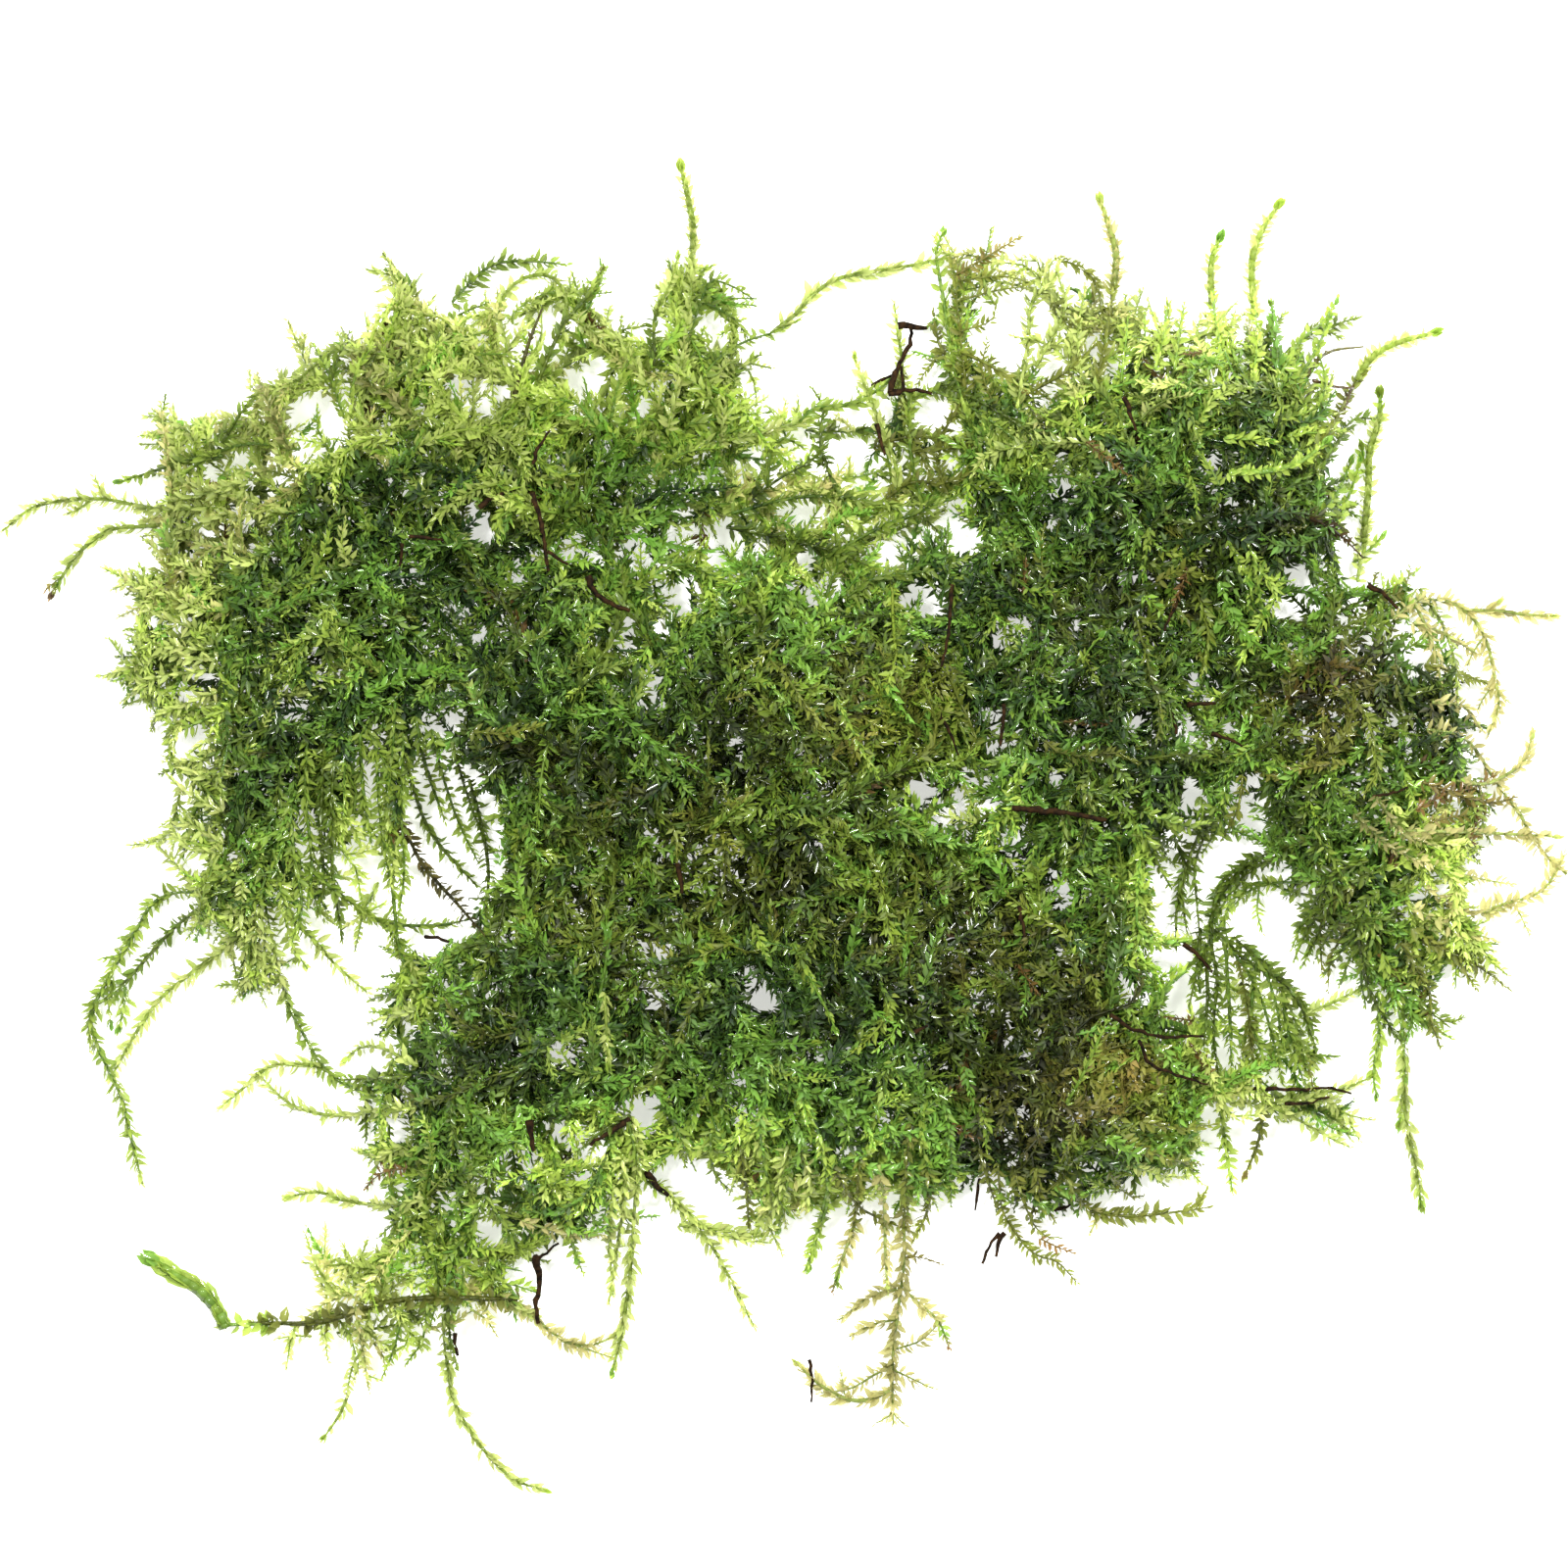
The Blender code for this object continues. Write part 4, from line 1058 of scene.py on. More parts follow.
TUFTS = (
    Tuft("tuft_upper_left", "fresh_moss", LIME, 0.42, 105, 45, 6, rims(
    (F, YELLOW, 0.6, -58.6, 32, -59, 36, -59.7, 40.6), (F, LIME, 0.65, -57.5, 33.5, -58.2, 37.5, -58.4, 40.4),
    (F, LIME, 0.62, -47.6, 34.5, -48.8, 39, -50.3, 43.1), (F, LIME, 0.62, -46.9, 36, -47.9, 40, -48.1, 43.3),
    (T, FRESH, 0.35, -53.5, 35.5, -57, 35.2, -60, 34.3, -64, 33.2),
    (B, FRESH, 0.4, -46, 36, -50.8, 36.6, -55, 35.4, -57.8, 33.2),
    (B, MATURE, 0.3, -54.5, 35.2, -53, 37.4, -51.8, 39.4, -50.4, 40.8),
    (F, FRESH, 0.5, -41.8, 39, -43.2, 43, -45.1, 46.4), (F, MATURE, 0.45, -43.2, 42, -42.4, 45, -41.6, 47.4),
    (F, FRESH, 0.5, -41.3, 41, -40.5, 44, -39.2, 45.9), (B, LIME, 0.6, -35.8, 45, -36.4, 49.5, -37.8, 54.3),
    (F, LIME, 0.5, -35.8, 44, -35.2, 48, -33.4, 50.9), (F, FRESH, 0.35, -34.4, 44, -31.8, 48.5, -28.3, 50.4),
    (F, FRESH, 0.3, -37, 44, -32.5, 46.3, -28.2, 47.4), (F, FRESH, 0.4, -38, 42, -33, 45, -26.4, 45.2),
    (F, LIME, 0.6, -31, 43, -28.2, 43.8, -27.6, 40.2), (B, LIME, 0.5, -55, 30.6, -59.5, 30.4, -62.6, 31.1),
    (B, LIME, 0.45, -53, 30, -57.5, 28.4, -61.4, 28), (B, LIME, 0.5, -51, 33, -55.6, 31.8, -59.8, 31),
    (F, LIME, 0.5, -50, 31, -54, 32, -59.6, 33.9),
    )),
    Tuft("tuft_upper_middle", "fresh_moss", FRESH, 0.4, 95, 55, 6, rims(
    (T, LIME, 0.6, -26.4, 45.5, -27.2, 49.7, -26.1, 52, -24.3, 53, -22.2, 52.8, -20.8, 50.5, -21.2, 46),
    (T, MATURE, 0.5, -23.4, 42.5, -21.3, 47.5, -19.5, 50, -18.3, 51.5, -17.4, 53.7),
    (N, BROWN, 0.2, -25.6, 41, -24.4, 46, -23.1, 49.6), (B, LIME, 0.55, -13, 42, -14.6, 45, -17, 48.3),
    (B, LIME, 0.5, -22, 49.9, -18.5, 47.5, -16.2, 45.8), (F, FRESH, 0.5, -16.4, 39, -15.5, 43, -13.6, 46),
    (B, LIME, 0.5, -11, 38, -9.8, 44, -9, 50, -8.8, 55.4),
    (B, MATURE, 0.35, -12.3, 44, -12.4, 48, -11.8, 50.3), (T, LIME, 0.65, -12.2, 49, -10.9, 52.4, -10.1, 55),
    (F, FRESH, 0.3, -9.4, 46, -8, 50.2, -7, 52.4, -4.9, 51.9, -3, 50.8),
    (F, FRESH, 0.28, -8.6, 50.6, -6.2, 49.6, -4.6, 48.6, -3.5, 47),
    (F, FRESH, 0.45, -9, 40.5, -7, 44, -4.1, 46.4, -1, 47.6, 1.4, 48.7),
    (F, LIME, 0.5, -8, 41, -5.2, 44.4, -3.2, 43.5, -2.6, 40.8),
    (F, FRESH, 0.45, -9, 38.4, -5, 39.2, -1.2, 39.7),
    (T, LIME, 0.5, -9, 36.1, -5.5, 36.9, -3, 37.4, 0, 38.3, 2.6, 38.9),
    (B, FRESH, 0.4, -9.6, 35, -6.5, 37.2, -2.8, 38.2),
    )),
    Tuft("tuft_upper_bridge", "fresh_moss", FRESH, 0.36, 10, 60, 3.2, rims(
    (T, FRESH, 0.5, 1.5, 38.8, 3, 40.2, 6.5, 40.6, 9, 42, 10.3, 43.2),
    (B, MATURE, 0.4, 3.6, 34.6, 3.5, 38, 3.8, 40.2, 2.8, 42),
    (B, MATURE, 0.3, 3.8, 35.6, 4.5, 33.2, 5.4, 31.2), (F, MATURE, 0.28, -3, 31.5, 0, 33.6, 2.6, 35, 4, 36.8),
    (B, FRESH, 0.3, -5, 30, 1, 31.5, 6.5, 31.5, 11, 30.3),
    (B, MATURE, 0.25, -5.5, 28.7, 0, 27.6, 5, 26.3, 8, 25),
    (B, FRESH, 0.35, 4, 25.8, 9, 28.6, 13, 30.2, 17, 32),
    (T, LIME, 0.6, 11, 32.3, 10.7, 34.4, 9.7, 37.4, 7.9, 41.9, 6.7, 45.4),
    (B, LIME, 0.6, 11.6, 39, 11.3, 44.9, 10.9, 47.5, 10.6, 50.3),
    (B, FRESH, 0.4, 13.2, 31, 12.2, 35, 11.9, 39, 12, 41.8),
    (F, OLIVE, 0.45, 11.2, 44.1, 11.4, 40.8, 12, 37.8, 13.2, 35.3, 14.2, 33.3),
    (F, OLIVE, 0.4, 8.6, 36.4, 12, 37.4, 15.6, 37, 19, 36), (B, OLIVE, 0.5, 12, 36, 15, 36.2, 18, 37.6),
    (B, OLIVE, 0.45, 15.4, 32, 14.6, 36, 16, 39.2, 17.4, 41.4),
    (B, OLIVE, 0.45, 9.5, 31.2, 12, 33, 15.4, 33, 18.6, 34.6), (B, FRESH, 0.4, -2, 23.6, 1, 27, 3.4, 30.6),
    (B, FRESH, 0.4, -1.6, 32.6, -1.2, 36, 0, 37.2, 1.8, 36.3),
    (F, FRESH, 0.35, 6, 22, 9, 24, 13, 24.4, 18, 26), (B, FRESH, 0.35, 4, 22, 5.2, 26, 4.6, 29),
    )),
    Tuft("tuft_feather", "olive_moss", LIME, 0.42, 85, 50, 2.6, rims(
    (T, FRESH, 0.5, 17.6, 39, 16.4, 43.4, 15.7, 47.5, 15.2, 51, 14.6, 55.1, 15.3, 57.3),
    (C, OLIVE, 0.5, 17.4, 42, 16.7, 48.5, 16.4, 52, 15.9, 55),
    (C, BROWN, 0.7, 16.5, 53, 19.2, 54.6, 22.8, 56.8), (C, OLIVE, 0.55, 16.8, 52.4, 20.8, 52.8, 23.4, 52.2),
    (C, OLIVE, 0.55, 16.9, 50.5, 20.3, 51.4, 23.2, 51.8),
    (C, OLIVE, 0.55, 16.8, 47.5, 19.7, 48.4, 20.2, 49.8),
    (B, LIME, 0.5, 22.2, 40, 23.3, 46.4, 23.6, 50, 25.8, 52.6, 26.4, 54.4),
    (F, OLIVE, 0.5, 26, 54.6, 28.3, 53.8, 30, 52, 30.4, 47.5),
    (F, LIME, 0.55, 24.4, 51, 25.4, 54, 26.8, 54.8), (C, OLIVE, 0.4, 25.8, 50.2, 27.1, 48.2, 30.4, 47.7),
    (B, LIME, 0.5, 24, 44, 26.8, 49.5, 26.2, 53), (B, OLIVE, 0.45, 17.4, 43, 15, 46, 14.4, 49.4),
    (C, OLIVE, 0.45, 20.4, 39.5, 18.9, 43.5, 19.4, 46.4), (F, LIME, 0.55, 28.4, 42, 28, 47, 28.8, 51.8),
    (B, OLIVE, 0.5, 29.6, 42, 31, 48, 31.4, 51, 31.8, 54), (B, OLIVE, 0.45, 23.5, 41.6, 27, 43.6, 30, 46.4),
    (T, OLIVE, 0.5, 16.8, 45.6, 20, 44, 23, 41.6),
    (F, FRESH, 0.35, 14.2, 41.9, 18, 40.1, 21.9, 37.1, 24.5, 34.4),
    (B, MATURE, 0.3, 14.6, 42.6, 18.4, 40.9, 22.4, 38.4, 25.8, 35.2),
    (C, OLIVE, 0.5, 16.4, 46.4, 14.2, 44.6, 12.8, 42.6),
    )),
    Tuft("tuft_upper_right", "shaded_moss", FRESH, 0.3, 85, 45, 7.5, rims(
    (F, FRESH, 0.66, 32, 42.5, 32.6, 47, 33, 50.4), (B, FRESH, 0.7, 35.2, 43.5, 36, 46.5, 36.5, 49.4),
    (B, FRESH, 0.66, 37, 43.5, 37.6, 47, 38.3, 50.1), (B, FRESH, 0.82, 41.8, 42, 41.3, 47.5, 41.1, 51.8),
    (F, FRESH, 0.82, 44.4, 42, 45.1, 47, 45.1, 51), (F, FRESH, 0.78, 43, 43.5, 42.4, 47, 43.2, 49.4),
    (T, EMERALD, 0.5, 47, 43.5, 46.9, 47.5, 46.7, 50.4),
    (T, FRESH, 0.6, 46.8, 42.5, 49.2, 46.4, 51.6, 48.4, 53, 50.6),
    (T, FRESH, 0.5, 48.8, 42.5, 51, 46, 52.3, 49),
    (N, BROWN, 0.45, 49.8, 43, 51, 44.8, 52.8, 45.8, 55.6, 46.2),
    (N, DEAD, 0.4, 50.4, 42.7, 52.6, 42.2, 54.6, 42.2),
    (B, OLIVE, 0.5, 50.4, 35.8, 53, 39.6, 54.8, 42.8, 56.2, 45.2),
    (N, DEAD, 0.5, 53.4, 39.6, 54.2, 41.6, 55.2, 43.6),
    (B, MATURE, 0.4, 50.6, 33.8, 52.8, 36.8, 54.6, 39.2, 57.4, 39.2),
    (P, FRESH, 0.6, 42, 33.6, 45.6, 33.8, 49, 34.8, 51.6, 36.8),
    (T, FRESH, 0.55, 41.6, 36.9, 43.8, 36.8, 46.2, 36.6), (T, FRESH, 0.45, 51, 29.6, 53.3, 32.7, 54.5, 35.4),
    (T, FRESH, 0.66, 52.6, 28.4, 54.4, 32.4, 55.4, 35.6), (B, OLIVE, 0.2, 48, 30, 52, 29.3, 54.5, 27.2),
    (T, FRESH, 0.6, 54.6, 25.4, 56.3, 26.8, 57.6, 28.2), (B, LIME, 0.5, 54.8, 23.6, 55.5, 27, 56.2, 30.4),
    (F, FRESH, 0.5, 50.6, 39, 51.6, 42.6, 51, 45.4), (F, FRESH, 0.6, 30.8, 44.6, 34, 45.8, 34.4, 49),
    )),
    Tuft("tuft_left_fan", "mature_moss", FRESH, 0.34, 180, 50, 7, rims(
    (B, LIME, 0.55, -55, 20.6, -59.5, 22.5, -62.4, 23.4, -64.3, 22.9),
    (B, LIME, 0.5, -56, 19, -60, 20.6, -62.4, 23.8), (B, LIME, 0.5, -55, 17, -60, 17.5, -62.9, 18.5),
    (B, LIME, 0.5, -54, 16, -60, 16.5, -63, 15.2, -65.3, 14.6),
    (B, LIME, 0.5, -55, 15, -60, 14.3, -63.4, 12.2), (B, LIME, 0.5, -54, 13, -58, 11.5, -60.2, 10.5),
    (B, FRESH, 0.5, -53, 11.5, -57, 9.6, -59.3, 9.2), (B, LIME, 0.5, -55, 24, -59.5, 26.3, -61.6, 27.9),
    (B, MATURE, 0.3, -49, 9.6, -52.5, 8.2, -55.4, 6.6, -59.7, 5.2),
    (C, OLIVE, 0.5, -57.2, 21, -58.6, 24, -59.3, 27.2),
    )),
    Tuft("tuft_left_hanging", "mature_moss", FRESH, 0.32, 268, 28, 6.5, rims(
    (B, LIME, 0.5, -54.5, 4.6, -57.5, 6, -59.1, 6.8), (B, LIME, 0.5, -53.5, 1.6, -57, 3.4, -58.7, 4.9),
    (B, LIME, 0.5, -53.5, -1.4, -57, 0.4, -59.9, -1.2), (B, LIME, 0.45, -53.5, -2.4, -56.6, -2, -58.4, 0),
    (B, LIME, 0.5, -55, -6.4, -57.8, -3.8, -59.9, -1.8),
    (B, FRESH, 0.4, -52.6, -4, -56, -6, -58.4, -6.2, -60.4, -7.5),
    (B, MATURE, 0.4, -51.6, -5.2, -54.8, -6.9, -58.4, -9.5, -60.4, -11.6, -62.4, -13.9, -64.2, -15.6, -66,
     -17), (T, LIME, 0.6, -50.6, -9.8, -52.8, -11.1, -55.6, -13),
    (B, FRESH, 0.4, -62.2, -9.8, -63.4, -12, -65.3, -12.5),
    (T, FRESH, 0.4, -64.4, -14.8, -64.8, -17, -64.6, -19),
    (T, FRESH, 0.45, -63.2, -15.2, -63.4, -17.4, -63.9, -19.4),
    (F, LIME, 0.55, -52.4, -6.5, -52.9, -11, -52.2, -16.2),
    (F, LIME, 0.5, -50, -7.4, -50.4, -11.6, -49.4, -15.4), (F, LIME, 0.5, -51.5, -5, -51.6, -10, -51, -14.8),
    (B, FRESH, 0.4, -48.6, -2, -47.9, -6, -46.6, -9, -44.2, -11.6),
    (B, FRESH, 0.4, -47, 2, -46.6, -3, -46, -7.4, -46.9, -10.8),
    (B, LIME, 0.45, -48.6, -11, -48.4, -13.6, -47.4, -17.4),
    )),
    Tuft("tuft_left_curtain", "fresh_moss", FRESH, 0.42, 268, 14, 2.2, rims(
    (B, MATURE, 0.4, -42.6, 9, -43.2, 2, -43.1, -4, -42.4, -10.8),
    (B, MATURE, 0.35, -43.8, 8, -44.2, 0, -43.9, -5, -44.5, -8),
    (B, FRESH, 0.45, -39, 9, -38.4, 0, -37.4, -6, -36.8, -11, -35.3, -14.6),
    (F, FRESH, 0.5, -36.2, 9, -36.5, 2, -36.3, -4, -36.8, -8.4),
    (F, FRESH, 0.45, -38, 7, -37.6, 0, -36.6, -5.4),
    (B, MATURE, 0.4, -36, 7, -34.8, 1.5, -33.2, -1.4, -31.4, -3.5, -29.6, -5.4),
    (B, BROWN, 0.2, -36.4, 0.6, -35, -3, -33, -5.5, -30.6, -8, -28.6, -10),
    (B, FRESH, 0.4, -47.6, -2, -42.8, -6, -40.6, -7.6, -38.5, -9, -36.3, -9.3, -33, -9.3, -30, -8.7),
    (B, FRESH, 0.4, -40.4, 9, -40.2, 4, -39.4, -1.4), (F, FRESH, 0.45, -39.6, 9.4, -37.8, 6, -35.4, 4.6),
    (B, LIME, 0.5, -35.4, -12.6, -35, -14.4, -35.6, -16.4),
    (F, FRESH, 0.4, -33.4, 9.4, -32.4, 4, -31, 0, -29.4, -3.2),
    (F, MATURE, 0.45, -31.4, 8, -30.2, 2.6, -28.4, -1.8), (B, FRESH, 0.4, -35, 10.6, -34, 5, -32.6, 0.8),
    (B, MATURE, 0.4, -30, 4.6, -29, 0, -28.2, -4.4, -28.4, -8.6),
    (B, FRESH, 0.45, -45.4, 8.6, -45.6, 3, -45, -3, -45.4, -7),
    (F, FRESH, 0.45, -37, 12, -37.4, 6, -38, 2, -37.8, -2.4),
    )),
    Tuft("tuft_centre_left", "mature_moss", MATURE, 0.24, 170, 60, 7.5, rims(
    (B, MATURE, 0.4, -17.8, 15.6, -16.2, 18, -15.2, 21.4, -15.4, 25),
    (B, MATURE, 0.35, -12.6, 17.4, -14.2, 20, -16.8, 22.2),
    (B, FRESH, 0.4, -14.4, 11.8, -12.6, 15, -9.8, 17.6), (B, MATURE, 0.3, -29, 12.4, -26, 16.4, -22.4, 18.6),
    )),
    Tuft("tuft_centre", "olive_moss", OLIVE, 0.2, 0, 70, 7.5),
    Tuft("tuft_centre_right", "shaded_moss", MATURE, 0.24, 280, 55, 7.5, rims(
    (B, MATURE, 0.45, 39.6, 3, 39.9, 0.4, 39, -2.6, 38.2, -5.2, 37.6, -8.2, 37.4, -11.6),
    (F, MATURE, 0.4, 41, 2, 40.2, -0.8, 39.4, -3.8, 39.6, -7, 39.8, -11),
    (F, FRESH, 0.4, 34, 1.6, 37, 0.6, 41, -0.4, 44.6, -0.2),
    (F, MATURE, 0.35, 33, -0.6, 36.4, -1, 39.6, -1.6), (F, FRESH, 0.45, 42, 3.4, 41.6, 0.4, 40.2, -2.4),
    (B, FRESH, 0.45, 33.6, 0.4, 35.6, -3.2, 37.2, -5.8), (F, OLIVE, 0.45, 43.6, 5, 43.2, 2, 42, -1),
    (B, MATURE, 0.25, 31.2, -5.6, 30.6, -9.4, 29.8, -12), (B, FRESH, 0.3, 33.4, -4.4, 34.4, -8, 33.2, -11.6),
    )),
    Tuft("tuft_right", "olive_moss", OLIVE, 0.36, 300, 70, 6.5, rims(
    (B, YELLOW, 0.45, 58, 20, 60.6, 21.8, 62.6, 21.9, 64.6, 21.4),
    (C, OLIVE, 0.5, 57, 22, 59.2, 22.8, 60, 24.8), (B, YELLOW, 0.5, 60, 19.6, 63.6, 18.4, 66.4, 16.8),
    (B, OLIVE, 0.5, 61, 15.6, 64.8, 14.8, 67.6, 13.8), (B, YELLOW, 0.5, 61.6, 12, 65, 11.6, 67, 9.4),
    (B, YELLOW, 0.45, 61, 9.4, 64.5, 8.8, 66.5, 7.2, 68.1, 4.8, 70.4, 1.6),
    (T, YELLOW, 0.5, 64, 4.6, 67, 4.2, 69.5, 5.2, 71.3, 6.8, 71.8, 9.1),
    (T, YELLOW, 0.55, 59, -0.2, 65.5, -0.4, 70, -0.6, 74.3, -0.8),
    (B, BROWN, 0.6, 60.6, 4.4, 65, 3, 68, 2.4, 70.2, 3), (C, RUST, 0.6, 60, 1.8, 63, 3.3, 66, 3.9, 68.2, 5.2),
    (C, BROWN, 0.6, 61.4, 0.6, 64.4, 1.2, 67.4, 1.2),
    (F, YELLOW, 0.6, 60, -2.8, 64, -4.2, 67.5, -5, 70.2, -5.4),
    (F, YELLOW, 0.6, 61, -5.6, 65, -7.8, 68, -8, 70, -7.4),
    (C, YELLOW, 0.55, 69.8, -6.9, 70.7, -8.4, 71.6, -10.4),
    (F, YELLOW, 0.5, 60, -7.6, 64, -9.5, 66.5, -10.2, 68.5, -10.9),
    (F, OLIVE, 0.5, 60, -9.6, 64, -12.2, 66.4, -15.3),
    (B, OLIVE, 0.4, 61, -10.6, 65.5, -12.7, 67.5, -13.8, 69.3, -15.3),
    (B, OLIVE, 0.4, 59, -11, 61.8, -15.6, 62, -18.2, 62.9, -20.8),
    (B, MATURE, 0.4, 61, -16.6, 63.4, -18.6, 65.1, -18.2),
    (B, MATURE, 0.25, 54.6, -9, 55.8, -14.7, 57.9, -18.7, 59.6, -21),
    (T, FRESH, 0.5, 57.2, -12, 58.8, -17, 59.4, -20.4, 59.6, -24.4),
    (T, FRESH, 0.6, 57, -15.6, 57.1, -19.7, 56.6, -23.6, 56.9, -25.9),
    (T, LIME, 0.6, 49.8, -17.8, 52.8, -16.7, 55.6, -15.2),
    (B, MATURE, 0.4, 52.2, -7.6, 50.8, -11, 49.8, -13.2),
    (F, MATURE, 0.4, 50, -1, 47.5, -1.8, 44.8, -3.2, 42.3, -5.6, 41, -8.2, 40.2, -10.6),
    (B, MATURE, 0.45, 48.6, -2.4, 45.4, -3.6, 43, -6, 41.4, -8.8),
    (F, FRESH, 0.45, 53, -6.8, 49, -6.2, 45.6, -5.2, 43, -7, 42.2, -9.4, 42.9, -11.8),
    (F, FRESH, 0.4, 52, -5.4, 48, -5.2, 45, -5.8, 42.6, -8), (C, FRESH, 0.6, 45.6, -5.9, 45.4, -8, 45.9, -10),
    (B, MATURE, 0.45, 52.4, -6.6, 50.4, -9.4, 49, -12.6), (B, FRESH, 0.4, 51.4, -7.2, 49.8, -9, 48.8, -11.4),
    (B, LIME, 0.5, 61, 23, 63, 19.6, 64, 15.6, 64.2, 12.2),
    (B, YELLOW, 0.5, 60.2, 21.4, 61.8, 17.6, 62.6, 13.6), (F, MATURE, 0.4, 56, -4, 52, -6.4, 49.6, -9.6),
    (F, MATURE, 0.35, 56.6, -6, 53, -9, 51, -12.6), (B, FRESH, 0.35, 57, -8, 54.6, -11.4, 53.4, -15),
    (B, MATURE, 0.4, 55.4, -3, 51, -4.6, 48, -6.6), (F, OLIVE, 0.4, 54.6, -7.6, 52.6, -12, 52.2, -15.6),
    (F, FRESH, 0.35, 56.4, -10, 55.2, -13.6, 55.8, -17), (B, MATURE, 0.3, 53, -3.6, 50.4, -7.8, 50.4, -11.8),
    (F, OLIVE, 0.4, 54.4, -5, 51.6, -8.4, 51.6, -13.6), (B, FRESH, 0.35, 55.6, -6.4, 54, -10.6, 51.8, -14),
    )),
    Tuft("tuft_lower_left", "shaded_moss", MATURE, 0.24, 235, 60, 7, rims(
    (T, FRESH, 0.6, -19.6, -33.6, -20.6, -36.8, -19.8, -41.4),
    (T, LIME, 0.6, -16.2, -34, -16.7, -39, -16.5, -44.6),
    (B, FRESH, 0.45, -34, -15, -36.4, -15, -38.7, -15.4),
    (B, LIME, 0.5, -35, -17.4, -37.6, -17.9, -39.8, -18.7),
    (T, LIME, 0.6, -34.8, -22.6, -38, -21.1, -40.6, -21, -42.3, -22.4),
    (B, MATURE, 0.4, -35.6, -23.6, -40, -24, -43, -24.2),
    (B, FRESH, 0.4, -36, -26.8, -40, -25.5, -42.8, -24.1),
    (B, LIME, 0.5, -35, -26.6, -39, -27, -42.1, -27.6, -45.2, -27.3, -47.7, -26.3, -50.3, -23.8),
    (B, MATURE, 0.3, -39.6, -24, -40.1, -27, -40.1, -30),
    (B, LIME, 0.5, -36.4, -30.4, -39, -31.5, -41.2, -30.8),
    (C, RUST, 0.6, -36, -32.4, -38.5, -33, -40.2, -34.5),
    (B, LIME, 0.45, -34.4, -35.4, -38, -36.1, -41, -36.1),
    (F, FRESH, 0.4, -34, -36.6, -37, -37.6, -38.8, -39.2),
    (F, FRESH, 0.4, -32.8, -35.6, -33.2, -39, -35.6, -41.6),
    (B, FRESH, 0.35, -28.4, -35, -26.2, -38.5, -25, -40.9, -22.8, -41.5),
    (F, EMERALD, 0.25, -25, -33, -22, -35.6, -18.4, -36.6),
    (F, EMERALD, 0.22, -24, -35.2, -21.4, -37, -18, -37.6),
    (F, YELLOW, 0.5, -25, -37.4, -21, -38.6, -17.4, -38.9),
    (F, FRESH, 0.55, -21, -37.4, -20.2, -40, -19.2, -42.9),
    (F, FRESH, 0.4, -22.4, -34.2, -20, -32.5, -16.8, -31.9),
    (B, LIME, 0.6, -15.4, -31, -15.2, -35, -15.9, -39.6, -16.8, -45.4),
    (T, LIME, 0.55, -14.4, -27.4, -13.9, -31.4, -14.3, -36.5, -14.7, -41.2),
    (B, FRESH, 0.45, -14.8, -28, -13.4, -33.4, -11.1, -35.2, -10.2, -36.4),
    (T, LIME, 0.55, -10.1, -38.1, -6, -38.6, -2, -39.1),
    (B, MATURE, 0.2, -14.6, -27.2, -17.4, -28.8, -19.6, -30.7),
    )),
    Tuft("tuft_lower_middle", "shaded_moss", MATURE, 0.26, 300, 70, 7.5, rims(
    (T, FRESH, 0.6, 4.8, -31, 3.8, -36, 2.3, -42.3), (T, FRESH, 0.55, 0.6, -30.4, 0.2, -34.6, -0.6, -38.6),
    (B, LIME, 0.6, -12, -34.1, -6.9, -38.7, -1.6, -39.8), (F, OLIVE, 0.45, 12, -28, 11.6, -33, 11.5, -38.6),
    (T, YELLOW, 0.5, 9, -32, 9.6, -36, 9.7, -40, 9.9, -44.4), (B, OLIVE, 0.5, 7.2, -31, 6.9, -36, 6.4, -39.8),
    (B, FRESH, 0.6, 3.4, -29, 4.2, -35, 3.1, -39.3, 2, -42.5),
    (F, FRESH, 0.5, 15.4, -28, 15.9, -33, 16, -36.2), (F, FRESH, 0.45, 12.8, -29, 14, -33.2, 14.8, -35.2),
    (F, OLIVE, 0.4, 4.6, -32, 7, -36, 9.6, -37.6, 12.4, -38.8),
    (B, OLIVE, 0.45, 13.6, -32, 13.8, -36.4, 12.4, -39.6),
    (B, LIME, 0.55, 0.4, -30, -0.5, -35, -1.6, -37.4, -0.2, -40.8),
    (B, OLIVE, 0.4, -4.2, -30, -3.6, -34, -3.4, -38.2), (B, FRESH, 0.4, -2, -30, -1.4, -34, 0.5, -36.7),
    (B, FRESH, 0.4, -7, -29, -6.8, -32.5, -5.4, -34.7), (B, FRESH, 0.4, -10.2, -28.4, -9.2, -31, -8.6, -32.5),
    (B, LIME, 0.5, 1.5, -30.4, 2.6, -34, 1.5, -36.4), (C, BROWN, 0.4, 11.6, -41.2, 13.2, -41.2, 14.9, -41.8),
    )),
    Tuft("tuft_lower_right", "olive_moss", OLIVE, 0.26, 340, 60, 7.5, rims(
    (F, OLIVE, 0.5, 32, -29.6, 36.5, -31.4, 39.9, -32.2), (F, OLIVE, 0.5, 34, -27.8, 38, -28.6, 41.4, -28.2),
    (F, LIME, 0.5, 32.6, -31.6, 36, -33.2, 38.6, -33.4), (B, OLIVE, 0.5, 27, -33.4, 29, -36.4, 31.4, -37.2),
    (B, YELLOW, 0.55, 30.8, -36.8, 29.9, -37.8, 29.4, -38.8),
    (B, OLIVE, 0.45, 24, -32.4, 24.6, -35.5, 26, -37.7), (C, OLIVE, 0.5, 20.4, -32, 20.9, -36.4, 22.5, -39.6),
    (C, OLIVE, 0.5, 22, -32.6, 23, -36, 24.6, -38.9, 26.4, -39.3),
    (C, RUST, 0.7, 24.6, -39.4, 26.2, -40.2, 27.6, -40.7),
